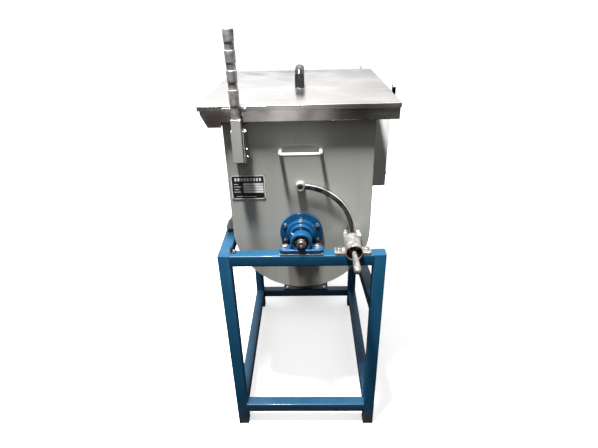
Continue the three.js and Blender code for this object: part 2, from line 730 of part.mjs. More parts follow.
function controlDoor() {
  const { x1, doorX, y0, y1, z0, z1, sheet } = BOX;
  const holes = [ISOLATOR, START, STOP].map(({ y, z, stemR }) =>
    turnedX([[0, x1], [stemR + 0.4, x1], [stemR + 0.4, doorX + 5], [0, doorX + 5]], y, z, 20));
  return cut(
    box(x1 + GAP, doorX, y0, y1, z0, z1),
    box(x1 - 5, doorX - sheet, y0 + sheet, y1 - sheet, z0 + sheet, z1 - sheet),
    ...holes);
}

function isolatorKnob() {
  const { stemR, headR, reach } = ISOLATOR;
  const face = BOX.doorX + GAP;
  const dial = turnedX([[0, face - 12], [stemR, face - 12], [stemR, face], [headR, face], [headR, face + 5],
    [headR - 6, face + 8], [0, face + 8]], 0, 0, 24);
  return join(dial, box(face + 5, face + reach, -5.5, 5.5, 3 - headR, headR - 3));
}

// Head on a stem that slides through the door; the gap under the head is the travel.
function pushButton({ stemR, headR, reach }) {
  const head = BOX.doorX + BUTTON_TRAVEL + GAP;
  const tip = BOX.doorX + reach;
  return turnedX([[0, BOX.doorX - 8], [stemR, BOX.doorX - 8], [stemR, head], [headR, head],
    [headR, tip - 2], [headR - 2, tip], [0, tip]], 0, 0, 20);
}

function placed(mesh, { y, z }) {
  mesh.position.set(0, y, z);
  return mesh;
}

function buildControls() {
  return groupOf(
    named('box_bracket', boxBracket(), BLUE),
    named('control_box', controlTub(), OFF_WHITE),
    named('control_door', controlDoor(), OFF_WHITE),
    placed(named('isolator_knob', isolatorKnob(), BLACK), ISOLATOR),
    placed(named('start_button', pushButton(START), GREEN), START),
    placed(named('stop_button', pushButton(STOP), RED), STOP));
}

// ---------------------------------------------------------------- whole machine

const machine = groupOf(
  buildStand(), buildBearings(), buildTank(), buildLid(),
  buildAgitator(), buildDrive(), buildLock(), buildControls());

machine.updateMatrixWorld(true);
const bounds = new THREE.Box3().setFromObject(machine, true);
const middle = bounds.getCenter(new THREE.Vector3());
machine.position.set(-middle.x, -middle.y, -bounds.min.z);

export default machine;
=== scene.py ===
"""Looks of a tilting trough tank on a square-tube stand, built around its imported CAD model.

Unless a name says otherwise, lengths are millimetres in stand coordinates: X = 0 midway between the legs,
Y = 0 on the front face of the front legs and Z = 0 on the floor. Form.mesh() turns them into the
frame's metres.
"""

import math
import random

import bmesh
import bpy
from mathutils import Matrix, Vector


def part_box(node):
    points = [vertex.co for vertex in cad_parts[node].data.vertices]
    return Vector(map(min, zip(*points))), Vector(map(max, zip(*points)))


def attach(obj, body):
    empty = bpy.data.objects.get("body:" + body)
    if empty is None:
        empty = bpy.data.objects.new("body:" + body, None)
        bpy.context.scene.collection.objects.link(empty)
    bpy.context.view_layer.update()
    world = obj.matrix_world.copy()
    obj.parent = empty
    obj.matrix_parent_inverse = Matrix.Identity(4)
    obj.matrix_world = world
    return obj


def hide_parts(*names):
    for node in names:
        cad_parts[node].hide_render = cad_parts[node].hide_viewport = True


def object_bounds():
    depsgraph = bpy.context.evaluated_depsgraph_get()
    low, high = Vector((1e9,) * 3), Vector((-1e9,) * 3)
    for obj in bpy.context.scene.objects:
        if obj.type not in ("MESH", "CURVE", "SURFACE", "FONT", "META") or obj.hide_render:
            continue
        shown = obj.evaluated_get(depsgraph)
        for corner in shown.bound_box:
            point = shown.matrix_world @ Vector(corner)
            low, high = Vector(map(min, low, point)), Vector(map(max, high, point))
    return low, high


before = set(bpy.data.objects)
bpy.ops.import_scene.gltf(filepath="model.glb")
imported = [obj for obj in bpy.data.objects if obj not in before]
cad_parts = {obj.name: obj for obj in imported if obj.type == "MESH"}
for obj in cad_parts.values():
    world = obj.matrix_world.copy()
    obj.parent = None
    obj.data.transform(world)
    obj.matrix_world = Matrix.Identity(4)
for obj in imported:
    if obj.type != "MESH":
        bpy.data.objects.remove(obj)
cad_low, cad_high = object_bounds()
random.seed(7)

MM = 0.001
X, Y, Z = Vector((1, 0, 0)), Vector((0, 1, 0)), Vector((0, 0, 1))
TURN = 2 * math.pi

# ---------------------------------------------------------------- places read from the frame

LEG_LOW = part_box("leg_front_left")[0]
LEG_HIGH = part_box("leg_front_right")[1]
ORIGIN = Vector(((LEG_LOW.x + LEG_HIGH.x) / 2, LEG_LOW.y, 0.0))


def span(node):
    """A CAD node's lowest and highest corners in stand millimetres."""
    low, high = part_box(node)
    return (low - ORIGIN) / MM, (high - ORIGIN) / MM


def middle(node):
    low, high = span(node)
    return (low + high) / 2


AXIS_Z = middle("agitator_shaft").z
TANK_LOW, TANK_HIGH = span("tank_shell")
WALL_FRONT = span("tank_front_wall")[0].y
WALL_BACK = span("tank_rear_wall")[1].y
TANK_R = TANK_HIGH.x
GAP = 0.3
TUBE_HALF, TUBE_WALL, TUBE_CORNER = 20.0, 2.5, 4.5
MOTOR_Z = middle("motor_pulley").z

# ---------------------------------------------------------------- mesh building


def aim(point, direction=Z, spin=0.0):
    """A placement whose local Z points along the direction; on upright faces local Y points up."""
    ahead = Vector(direction).normalized()
    up = Z if abs(ahead.z) < 0.9 else Y
    across = ahead.cross(up).normalized()
    if across.x + across.y < 0:
        across = -across
    up = (up - ahead * up.dot(ahead)).normalized()
    turn = Matrix((across, up, ahead)).transposed().to_4x4()
    return Matrix.Translation(Vector(point)) @ turn @ Matrix.Rotation(spin, 4, "Z")


def rounded(points, radius, steps=4, closed=True):
    """The same outline with each corner turned into an arc of about that radius."""
    points = [Vector(p) for p in points]
    made = []
    for i, corner in enumerate(points):
        if not closed and i in (0, len(points) - 1):
            made.append(corner)
            continue
        before = points[i - 1] - corner
        after = points[(i + 1) % len(points)] - corner
        angle = before.angle(after, math.pi)
        if angle > math.radians(176) or radius <= 0:
            made.append(corner)
            continue
        reach = min(radius / math.tan(angle / 2), 0.45 * before.length, 0.45 * after.length)
        start = corner + before.normalized() * reach
        end = corner + after.normalized() * reach
        for k in range(steps + 1):
            t = k / steps
            made.append(start * (1 - t) ** 2 + corner * 2 * t * (1 - t) + end * t ** 2)
    return made


def rectangle(half_u, half_v, radius, steps=4, centre=(0, 0)):
    corners = [(-half_u, -half_v), (half_u, -half_v), (half_u, half_v), (-half_u, half_v)]
    moved = [(u + centre[0], v + centre[1]) for u, v in corners]
    return rounded(moved, radius, steps)


def circle(radius, segments=48, centre=(0, 0)):
    angles = [TURN * k / segments for k in range(segments)]
    return [Vector((centre[0] + radius * math.cos(a), centre[1] + radius * math.sin(a))) for a in angles]


def arc(radius, start, end, steps, centre=(0, 0)):
    angles = [start + (end - start) * k / steps for k in range(steps + 1)]
    return [Vector((centre[0] + radius * math.cos(a), centre[1] + radius * math.sin(a))) for a in angles]


class Form:
    """Closed shapes in stand millimetres, gathered into one mesh."""

    def __init__(self):
        self.bm = bmesh.new()

    def loft(self, rings, loop=False, caps=True):
        """Joins rings of equally many points, and closes the ends or joins the last ring to the first."""
        grid = [[self.bm.verts.new(p) for p in ring] for ring in rings]
        count = len(grid[0])
        pairs = list(zip(grid, grid[1:])) + ([(grid[-1], grid[0])] if loop else [])
        faces = []
        for a, b in pairs:
            for k in range(count):
                n = (k + 1) % count
                faces.append(self.bm.faces.new((a[k], a[n], b[n], b[k])))
        if caps and not loop:
            faces.append(self.bm.faces.new(grid[0][::-1]))
            faces.append(self.bm.faces.new(grid[-1]))
        verts = [v for ring in grid for v in ring]
        bmesh.ops.remove_doubles(self.bm, verts=verts, dist=1e-3)
        faces = [f for f in faces if f.is_valid]
        bmesh.ops.recalc_face_normals(self.bm, faces=faces)
        return self

    def stack(self, layers, where=Matrix.Identity(4), loop=False, caps=True):
        """Lofts flat outlines given as (outline, height) through a placement."""
        rings = [[where @ Vector((p[0], p[1], h)) for p in outline] for outline, h in layers]
        return self.loft(rings, loop, caps)

    def prism(self, outline, where, height):
        return self.stack([(outline, 0), (outline, height)], where)

    def box(self, x0, x1, y0, y1, z0, z1):
        outline = [(x0, y0), (x1, y0), (x1, y1), (x0, y1)]
        return self.prism(outline, Matrix.Translation((0, 0, z0)), z1 - z0)

    def slab(self, x0, x1, y0, y1, z0, z1, corner):
        """A plate with rounded vertical corners."""
        outline = rectangle((x1 - x0) / 2, (y1 - y0) / 2, corner, 5, ((x0 + x1) / 2, (y0 + y1) / 2))
        return self.prism(outline, Matrix.Translation((0, 0, z0)), z1 - z0)

    def turned(self, profile, where, segments=64, soften=0.0, ripple=None):
        """A profile of (radius, height) points turned about the placement's Z axis."""
        looped = Vector(profile[0]) == Vector(profile[-1]) and profile[0][0] > 0
        points = profile[:-1] if looped else profile
        points = rounded(points, soften, 3, closed=looped)
        rings = []
        for r, h in points:
            ring = []
            for k in range(segments):
                a = TURN * k / segments
                scale = ripple(a, h) if ripple else 1.0
                ring.append(where @ Vector((r * scale * math.cos(a), r * scale * math.sin(a), h)))
            rings.append(ring)
        return self.loft(rings, loop=looped)

    def disc(self, radius, low, high, where, segments=32, soften=0.0):
        """A solid round of one radius."""
        return self.turned([(0, low), (radius, low), (radius, high), (0, high)], where, segments, soften)

    def band(self, inner, outer, low, high, where, segments=64, soften=0.0):
        """A square-edged ring."""
        profile = [(inner, low), (outer, low), (outer, high), (inner, high), (inner, low)]
        return self.turned(profile, where, segments, soften)

    def sweep(self, path, section, loop=False, grow=None):
        """Moves a flat section along a path without twist; grow(share) scales it on the way."""
        path = [Vector(p) for p in path]
        count = len(path)
        tangents = []
        for i in range(count):
            before = path[i - 1] if (i or loop) else path[i]
            after = path[(i + 1) % count] if (i < count - 1 or loop) else path[i]
            tangents.append((after - before).normalized())
        side = tangents[0].orthogonal().normalized()
        rings = []
        for i, (point, ahead) in enumerate(zip(path, tangents)):
            side = (side - ahead * side.dot(ahead)).normalized()
            across = ahead.cross(side)
            size = grow(i / max(1, count - 1)) if grow else 1.0
            rings.append([point + (side * p[0] + across * p[1]) * size for p in section])
        return self.loft(rings, loop)

    def bead(self, path, radius, loop=False):
        """A weld bead: a thin rod with overlapping ripples along a path."""
        steps = resample(path, radius * 0.8, loop)
        phase = random.uniform(0, TURN)
        section = circle(radius, 8)

        def ripple(share):
            return 1 + 0.16 * math.sin(phase + share * len(steps) * 1.15)

        return self.sweep(steps, section, loop, ripple)

    def mesh(self, name):
        matrix = Matrix.Translation(ORIGIN) @ Matrix.Scale(MM, 4)
        bmesh.ops.transform(self.bm, matrix=matrix, verts=self.bm.verts)
        data = bpy.data.meshes.new(name)
        self.bm.to_mesh(data)
        self.bm.free()
        return data


def resample(path, step, loop=False):
    """The path cut into nearly equal short steps."""
    points = [Vector(p) for p in path]
    if loop:
        points.append(points[0])
    made = []
    for a, b in zip(points, points[1:]):
        parts = max(1, round((b - a).length / step))
        made += [a.lerp(b, k / parts) for k in range(parts)]
    if not loop:
        made.append(points[-1])
    return made


def divided(profile, step):
    """A turned profile with extra points along its longer stretches."""
    made = []
    for (r0, h0), (r1, h1) in zip(profile, profile[1:]):
        parts = max(1, round(abs(h1 - h0) / step))
        made += [(r0 + (r1 - r0) * k / parts, h0 + (h1 - h0) * k / parts) for k in range(parts)]
    return made + [profile[-1]]


def hoop(x, y, z, radius, segments):
    """Points of a circle that faces along Y."""
    return [(x + p.x, y, z + p.y) for p in circle(radius, segments)]


def radial(angle):
    """The directions away from and round the Y axis at an angle."""
    return Vector((math.cos(angle), 0, math.sin(angle))), Vector((-math.sin(angle), 0, math.cos(angle)))


def dress(obj, bevel, segments=2, angle=28):
    """Rounds an object's hard edges and keeps its flat faces flat."""
    if bevel:
        edge = obj.modifiers.new("edges", "BEVEL")
        edge.width = bevel * MM
        edge.segments = segments
        edge.limit_method = "ANGLE"
        edge.angle_limit = math.radians(angle)
        edge.harden_normals = True
    normals = obj.modifiers.new("normals", "WEIGHTED_NORMAL")
    normals.keep_sharp = True


def piece(name, form, body, finish, replaces=(), bevel=0.0, segments=2, sharp=32):
    """A new visible piece from a form, riding on a CAD body."""
    obj = bpy.data.objects.new(name, form.mesh(name))
    bpy.context.scene.collection.objects.link(obj)
    obj.data.materials.append(finish)
    obj.data.shade_smooth()
    if bevel:
        dress(obj, bevel, segments)
    else:
        obj.data.set_sharp_from_angle(angle=math.radians(sharp))
    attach(obj, body)
    if replaces:
        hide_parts(*replaces)
    return obj


def keep(node, finish, bevel=0.6, segments=2):
    """A CAD node that stays: it gets its finish and softened edges."""
    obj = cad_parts[node]
    obj.data.materials.clear()
    obj.data.materials.append(finish)
    weld = obj.modifiers.new("join", "WELD")
    weld.merge_threshold = 2e-5
    obj.data.shade_smooth()
    dress(obj, bevel, segments, 35)
    return obj


# ---------------------------------------------------------------- materials


class Nodes:
    """Makes and links the nodes of one tree."""

    def __init__(self, tree):
        self.tree = tree

    def wire(self, socket, value):
        if isinstance(value, bpy.types.NodeSocket):
            self.tree.links.new(value, socket)
        else:
            socket.default_value = (*value, 1) if isinstance(value, tuple) and len(value) == 3 else value

    def node(self, kind, inputs=None, **settings):
        made = self.tree.nodes.new(kind)
        for key, value in settings.items():
            setattr(made, key, value)
        for key, value in (inputs or {}).items():
            self.wire(made.inputs[key], value)
        return made

    def mix(self, factor, a, b, mode="MIX"):
        inputs = {0: factor, 6: a, 7: b}
        return self.node("ShaderNodeMix", inputs, data_type="RGBA", blend_type=mode).outputs[2]


class Finish(Nodes):
    """A Principled material with procedural colour, roughness and bump in object space."""

    def __init__(self, name, metallic=0.0, coat=0.0):
        self.material = bpy.data.materials.new(name)
        self.material.use_nodes = True
        super().__init__(self.material.node_tree)
        self.shader = self.tree.nodes["Principled BSDF"]
        self.shader.inputs["Metallic"].default_value = metallic
        self.shader.inputs["Coat Weight"].default_value = coat
        self.shader.inputs["Coat Roughness"].default_value = 0.12
        self.place = self.node("ShaderNodeTexCoord").outputs["Object"]
        self.height = None

    def noise(self, scale, detail=3.0, stretch=(1, 1, 1), seed=0.0):
        moved = self.node("ShaderNodeMapping", {"Vector": self.place})
        moved.inputs["Scale"].default_value = stretch
        moved.inputs["Location"].default_value = (seed, seed * 1.7, seed * 0.6)
        made = self.node("ShaderNodeTexNoise", {"Vector": moved.outputs[0], "Scale": scale, "Detail": detail})
        return made.outputs["Fac"]

    def voronoi(self, scale, stretch=(1, 1, 1)):
        moved = self.node("ShaderNodeMapping", {"Vector": self.place})
        moved.inputs["Scale"].default_value = stretch
        made = self.node("ShaderNodeTexVoronoi", {"Vector": moved.outputs[0], "Scale": scale})
        return made.outputs["Distance"]

    def remap(self, value, low, high, to_low=0.0, to_high=1.0):
        inputs = dict(enumerate((value, low, high, to_low, to_high)))
        return self.node("ShaderNodeMapRange", inputs, interpolation_type="SMOOTHSTEP").outputs[0]

    def math(self, operation, a, b=0.0):
        return self.node("ShaderNodeMath", {0: a, 1: b}, operation=operation).outputs[0]

    def axis(self, letter):
        parts = self.node("ShaderNodeSeparateXYZ", {"Vector": self.place})
        return parts.outputs[letter]

    def edges(self, low=0.52, high=0.58):
        sharp = self.node("ShaderNodeNewGeometry").outputs["Pointiness"]
        return self.remap(sharp, low, high)

    def colour(self, value):
        self.wire(self.shader.inputs["Base Color"], value)

    def roughness(self, value):
        self.wire(self.shader.inputs["Roughness"], value)

    def metallic(self, value):
        self.wire(self.shader.inputs["Metallic"], value)

    def bump(self, height, strength, distance_mm):
        """Adds a layer of relief on top of the ones before."""
        inputs = {"Height": height, "Strength": strength, "Distance": distance_mm * MM}
        made = self.node("ShaderNodeBump", inputs)
        if self.height:
            self.tree.links.new(self.height, made.inputs["Normal"])
        self.height = made.outputs[0]
        self.tree.links.new(self.height, self.shader.inputs["Normal"])


def shade(colour, factor):
    return tuple(min(1.0, c * factor) for c in colour)


def paint(name, colour, rough=0.4, peel=1.0, wear=0.0, darker_low_down=None, cast=0.0, coat=0.15, gloss=0.5):
    """Sprayed paint: mottled, orange-peel relief, worn edges, and patchy darkening low down, towards the
    floor.
    """
    f = Finish(name, coat=coat)
    cloud = f.noise(5.0, 4)
    fine = f.noise(60.0, 3, seed=3.1)
    base = f.mix(f.remap(cloud, 0.35, 0.65), shade(colour, 0.9), shade(colour, 1.08))
    base = f.mix(f.remap(fine, 0.62, 0.8, 0, 0.35), base, shade(colour, 0.72))
    specks = f.remap(f.voronoi(70.0), 0.02, 0.06, 0.6, 0.0)
    base = f.mix(f.math("MULTIPLY", specks, f.remap(f.noise(9.0, 2, seed=8.0), 0.5, 0.6)), base,
                 shade(colour, 0.45))
    if wear:
        chips = f.math("MULTIPLY", f.edges(), f.remap(f.noise(45.0, 5, seed=1.3), 0.48, 0.6, 0, wear))
        base = f.mix(chips, base, (0.42, 0.43, 0.42))
    if darker_low_down:
        # Darkens the colour in patches below the given height, more towards the floor.
        level, strength = darker_low_down
        low = f.remap(f.axis("Z"), level, 0.0, 0.0, strength)
        drift = f.remap(f.noise(22.0, 5, seed=5.0), 0.3, 0.62)
        base = f.mix(f.math("MULTIPLY", low, drift), base, (0.066, 0.062, 0.056))
    f.colour(base)
    f.shader.inputs["Specular IOR Level"].default_value = gloss
    f.roughness(f.remap(f.noise(14.0, 4, seed=2.2), 0.3, 0.7, rough - 0.08, rough + 0.12))
    f.bump(f.noise(2.6, 1, seed=9.0), 0.35, 1.4)
    f.bump(f.noise(420.0, 2), 0.22 * peel, 0.25)
    if cast:
        f.bump(f.noise(260.0, 4, seed=6.0), cast, 0.6)
    return f.material


def tank_paint(name):
    """The tank's light grey paint, with faint grime streaks and a darker brownish band below the shaft."""
    f = Finish(name, coat=0.9)
    f.shader.inputs["Coat Roughness"].default_value = 0.07
    grey = (0.375, 0.378, 0.346)
    base = f.mix(f.remap(f.noise(3.2, 4), 0.3, 0.7), shade(grey, 0.92), shade(grey, 1.06))
    streak = f.remap(f.noise(30.0, 3, stretch=(1, 1, 0.07), seed=2.0), 0.5, 0.75, 0, 0.3)
    base = f.mix(streak, base, shade(grey, 0.8))
    # A darker brownish band, about as wide as the bearing, on the walls below the shaft.
    from_axis = f.math("SUBTRACT", f.axis("X"), ORIGIN.x)
    beside = f.math("ABSOLUTE", f.math("ADD", from_axis, f.math("MULTIPLY", f.noise(9.0, 3), 0.014)))
    band = f.remap(beside, 0.036, 0.046, 0.8, 0.0)
    below = f.remap(f.axis("Z"), AXIS_Z * MM - 0.02, AXIS_Z * MM - 0.09)
    patches = f.remap(f.noise(12.0, 4, (1, 1, 0.3)), 0.2, 0.6)
    run = f.math("MULTIPLY", f.math("MULTIPLY", band, below), patches)
    base = f.mix(run, base, (0.24, 0.205, 0.18))
    f.colour(base)
    f.roughness(f.remap(f.noise(11.0, 4, seed=2.2), 0.3, 0.7, 0.38, 0.56))
    f.bump(f.noise(2.2, 1, seed=4.0), 0.4, 2.5)
    f.bump(f.noise(300.0, 2), 0.25, 0.25)
    return f.material


def stainless(name, colour=(0.66, 0.645, 0.63), rough=0.26, grain=(3, 420, 420), smudge=0.5, cloudy=0.16):
    """Brushed sheet: fine lines one way, with wiped and dull patches."""
    f = Finish(name, metallic=1.0)
    lines = f.noise(1.0, 3, stretch=grain, seed=4.0)
    cloud = f.noise(7.0, 5, seed=1.0)
    base = f.mix(f.remap(lines, 0.3, 0.7), shade(colour, 0.88), shade(colour, 1.08))
    base = f.mix(f.remap(cloud, 0.5, 0.75, 0, smudge), base, shade(colour, 0.68))
    spots = f.remap(f.noise(38.0, 4, seed=7.0), 0.68, 0.78, 0, 0.5)
    base = f.mix(spots, base, (0.32, 0.25, 0.2))
    f.colour(base)
    dull = f.remap(cloud, 0.35, 0.7, rough - 0.05, rough + cloudy)
    f.roughness(f.math("ADD", dull, f.remap(lines, 0.2, 0.8, -0.03, 0.05)))
    f.bump(f.noise(3.0, 2, seed=3.0), 0.35, 1.6)
    f.bump(lines, 0.12, 0.12)
    return f.material


def steel(name, colour, rough=0.35, rust=0.2, metallic=1.0, relief=0.25):
    """Turned or plated steel with handling marks, tarnish and a little rust."""
    f = Finish(name, metallic=metallic)
    cloud = f.noise(55.0, 5)
    base = f.mix(f.remap(cloud, 0.35, 0.7), shade(colour, 0.78), shade(colour, 1.1))
    brown = f.remap(f.noise(90.0, 5, seed=2.6), 0.55, 0.68, 0, rust)
    base = f.mix(brown, base, (0.2, 0.1, 0.055))
    f.colour(base)
    f.metallic(f.math("SUBTRACT", metallic, f.math("MULTIPLY", brown, 0.8)))
    f.roughness(f.math("ADD", f.remap(cloud, 0.3, 0.7, rough - 0.08, rough + 0.12),
                       f.math("MULTIPLY", brown, 0.4)))
    f.bump(f.noise(500.0, 3, seed=1.0), relief, 0.2)
    f.bump(f.noise(60.0, 4, seed=5.0), relief * 0.6, 0.3)
    return f.material


def arc_steel_painted_light(name):
    """The lock bar: its flat faces get painted shade in near-black, and its rim gets a painted highlight in
    near-white.
    """
    f = Finish(name, metallic=1.0)
    facing = f.node("ShaderNodeSeparateXYZ", {"Vector": f.node("ShaderNodeNewGeometry").outputs["Normal"]})
    # Painted light by facing: faces turned along Y take the painted shade, the rim takes the painted
    # highlight.
    flat = f.remap(f.math("ABSOLUTE", facing.outputs["Y"]), 0.5, 0.85)
    cloud = f.noise(55.0, 5)
    bright = f.mix(f.remap(cloud, 0.35, 0.7), (0.72, 0.71, 0.68), (0.92, 0.91, 0.88))
    black = f.mix(f.remap(cloud, 0.4, 0.75), (0.03, 0.031, 0.028), (0.12, 0.115, 0.1))
    f.colour(f.mix(flat, bright, black))
    f.metallic(f.remap(flat, 0.0, 1.0, 0.45, 0.35))
    f.roughness(f.remap(cloud, 0.3, 0.7, 0.3, 0.44))
    f.bump(f.noise(500.0, 3, seed=1.0), 0.25, 0.2)
    return f.material


def moulded(name, colour, rough=0.3, grain=0.2, coat=0.0):
    """Moulded plastic or rubber: faint grain, handling shine and dust."""
    f = Finish(name, coat=coat)
    base = f.mix(f.remap(f.noise(30.0, 4), 0.35, 0.7), shade(colour, 0.85), shade(colour, 1.15))
    dust = f.remap(f.noise(18.0, 5, seed=6.0), 0.55, 0.8, 0, 0.18)
    base = f.mix(dust, base, (0.35, 0.34, 0.32))
    f.colour(base)
    f.roughness(f.remap(f.noise(25.0, 4, seed=2.0), 0.3, 0.7, rough - 0.05, rough + 0.14))
    f.bump(f.noise(900.0, 2), grain, 0.15)
    f.bump(f.noise(40.0, 2, seed=1.0), 0.15, 0.4)
    return f.material


# The stand's paint darkens in patches below 0.14 m.
STAND_PAINT = paint("stand_blue", (0.007, 0.06, 0.122), 0.36, darker_low_down=(0.14, 0.98), coat=0.2, gloss=0.3)
DRIVE_PAINT = paint("drive_blue", (0.008, 0.064, 0.13), 0.42, coat=0.2, gloss=0.35)
BEARING_PAINT = paint("bearing_blue", (0.003, 0.05, 0.13), 0.34, cast=0.3, wear=0.3, coat=0.12, gloss=0.3)
TANK_PAINT = tank_paint("tank_grey")
LID_STEEL = stainless("lid_stainless", (0.78, 0.765, 0.75), 0.25, smudge=0.06, cloudy=0.07)
RIM_STEEL = stainless("rim_stainless", (0.62, 0.59, 0.575), 0.16, smudge=0.5)
INNER_STEEL = stainless("agitator_stainless", (0.55, 0.54, 0.52), 0.34, (420, 3, 420), 0.8)
BARE = steel("bare_steel", (0.56, 0.54, 0.52), 0.34)
GRIP_STEEL = steel("grip_steel", (0.5, 0.495, 0.485), 0.46, 0.0, 0.8)
ZINC = steel("zinc_bolts", (0.66, 0.65, 0.62), 0.28, 0.12)
LOCK_METAL = steel("lock_metal", (0.56, 0.54, 0.51), 0.38, 0.5, 0.85, 0.7)
RUSTY = steel("rusty_steel", (0.25, 0.13, 0.09), 0.5, 0.9, 0.8, 0.6)
# The quadrant's finish carries painted shade on its flat faces and a painted highlight on its rim.
ARC_STEEL_PAINTED_LIGHT = arc_steel_painted_light("arc_steel_painted_light")
DARK = steel("dark_steel", (0.05, 0.052, 0.048), 0.42, 0.25, 0.8)
BLACK_PLASTIC = moulded("black_plastic", (0.006, 0.006, 0.007), 0.2, 0.05, 0.2)
RUBBER = moulded("rubber", (0.012, 0.012, 0.012), 0.7, 0.5)
BOX_PAINT = paint("box_off_white", (0.62, 0.63, 0.6), 0.42, 1.6)
MOTOR_PAINT = paint("motor_grey_blue", (0.05, 0.095, 0.14), 0.45, cast=0.35)
GREEN = moulded("green_plastic", (0.01, 0.25, 0.05), 0.3)
RED = moulded("red_plastic", (0.45, 0.008, 0.01), 0.28, 0.1, 0.3)
PLATE_BLACK = moulded("plate_black", (0.012, 0.011, 0.012), 0.32)
PLATE_SILVER = steel("plate_silver", (0.86, 0.84, 0.83), 0.4, 0.0, 0.2)

# ---------------------------------------------------------------- fasteners


def hexagon(flats, segments=24):
    made = []
    for k in range(segments):
        a = TURN * k / segments
        inside = (a + math.pi / 6) % (math.pi / 3) - math.pi / 6
        r = flats / 2 / math.cos(inside)
        made.append((r, a))
    return made


def hex_head(form, where, flats, height):
    """A hexagon with its top corners chamfered, as on a bolt head or nut."""
    outline = hexagon(flats)
    crown = flats / 2 * 0.94
    foot = [where @ Vector((r * math.cos(a), r * math.sin(a), 0)) for r, a in outline]
    edge = [where @ Vector((r * math.cos(a), r * math.sin(a), height - (r - crown) * 0.6))
            for r, a in outline]
    top = [where @ Vector((crown * math.cos(a), crown * math.sin(a), height)) for _, a in outline]
    form.loft([foot, edge, top])


def bolt(form, point, direction, size=8.0, washer=True, nut=False, spin=0.3):
    """A hexagon bolt head, or a nut on a thread end, on its washer."""
    where = aim(point, direction, spin)
    lift = 0.0
    if washer:
        lift = size * 0.2
        form.disc(size, 0, lift, where, 32, 0.3)
    top = where @ Matrix.Translation((0, 0, lift))
    hex_head(form, top, size * 1.62, size * (0.8 if nut else 0.66))
    if nut:
        end = size * 1.15

        def ridge(angle, height):
            return 1 + 0.03 * math.sin(height * 5.0 + angle)

        form.turned([(0, 0), (size / 2, 0), (size / 2, end - 0.8), (size / 2 - 0.8, end), (0, end)], top, 24,
                    ripple=ridge)


def rivet(form, point, direction, r):
    dome = [(0, 0), (r, 0), (r * 0.9, r * 0.35), (r * 0.55, r * 0.62), (0, r * 0.72)]
    form.turned(dome, aim(point, direction), 24)


def grease_nipple(form, point, direction):
    where = aim(point, direction)
    hex_head(form, where, 8, 3.5)
    form.turned([(0, 3), (2.4, 3), (2.2, 5.5), (1.5, 6.5), (2.2, 8), (1.6, 9.6), (0, 10)], where, 20, 0.2)


# ---------------------------------------------------------------- stand


def square_section(half, inset, radius=TUBE_CORNER):
    return rectangle(half - inset, half - inset, max(1.0, radius - inset), 5)


def leg(corner):
    """A leg with rounded corners and a capped, softened top; its open foot holds the plastic glide."""
    low, high = span(f"leg_{corner}")
    half = (high.x - low.x) / 2
    where = Matrix.Translation(((low.x + high.x) / 2, (low.y + high.y) / 2, 0))
    layers = [
        (square_section(half, TUBE_WALL), high.z - TUBE_WALL), (square_section(half, TUBE_WALL), low.z),
        (square_section(half, 0), low.z), (square_section(half, 0), high.z - 1.4),
        (square_section(half, 0.4), high.z - 0.4), (square_section(half, 1.4), high.z)]
    piece(f"tube_leg_{corner}", Form().stack(layers, where), "stand", STAND_PAINT,
          [f"leg_{corner}"])


def rail(node, rise=0.0):
    """A square tube between two legs; rise is how much higher its far end is than its near end."""
    low, high = span(node)
    along_x = high.x - low.x > high.y - low.y
    start, end = (low.x, high.x) if along_x else (low.y, high.y)
    centre = (low + high) / 2
    near_z = high.z - TUBE_HALF - max(0.0, rise)
    where = aim((0, centre.y, near_z), X) if along_x else aim((centre.x, 0, near_z), Y)
    outer, inner = square_section(TUBE_HALF, 0), square_section(TUBE_HALF, TUBE_WALL)
    form = Form().stack([(outer, start), (outer, end), (inner, end), (inner, start)], where, loop=True)
    slope = rise / (end - start)
    for v in form.bm.verts:
        v.co.z += slope * ((v.co.x if along_x else v.co.y) - start)
    piece(f"tube_{node}", form, "stand", STAND_PAINT, [node])
    return start, end, where, slope


BRACKET_BOLT_Z = 610


def build_stand():
    for corner in ("front_left", "front_right", "rear_left", "rear_right"):
        leg(corner)
        keep(f"foot_{corner}", RUBBER, 0.5)
    rails = ["top_front", "top_rear", "top_left", "low_front", "low_rear", "low_left", "low_right"]
    seams = [rail(f"rail_{name}") for name in rails]
    brace_low, brace_high = span("brace_right")
    drop = (brace_high.z - brace_low.z) - 2 * TUBE_HALF
    seams.append(rail("brace_right", -drop))
    welds = Form()
    for start, end, where, slope in seams:
        for place in (start - 0.2, end + 0.2):
            loop = [where @ Vector((p.x, p.y, place)) for p in square_section(TUBE_HALF, 0.9)]
            loop = [p + Z * slope * (place - start) for p in loop]
            welds.bead(loop, 1.5, loop=True)
    piece("stand_welds", welds, "stand", STAND_PAINT)
    keep("rest_pad", RUBBER, 1.0)
    rail_low, rail_high = span("rail_top_left")
    side, rest, cleat = rail_low.x, rail_high.z + GAP, Form()
    cleat.slab(side + 38, side + 58, 20, 38, rest, rest + 3, 3)
    cleat.slab(side + 40, side + 44, 22, 37, rest + 1.7, rest + 17.7, 1)
    piece("front_cleat", cleat, "stand", DARK, bevel=0.5)
    bolts = Form()
    bolt(bolts, (side + 51, 29, rest + 3), Z, 5)
    bracket_low, bracket_high = span("box_bracket")
    for y in (15, 44):
        bolt(bolts, (bracket_high.x, bracket_low.y + y, BRACKET_BOLT_Z), X, 5, washer=False)
    base_top, rear = span("drive_base")[1].z, span("leg_rear_right")[1].y
    for x in (-100, 100):
        bolt(bolts, (x, rear - 24, base_top), Z, 8)
    piece("stand_bolts", bolts, "stand", ZINC)


# ---------------------------------------------------------------- shaft bearings

RING_R, BORE_R, FOOT_HEIGHT, FOOT_BOLT_X = 34, 26, 14, 52.5


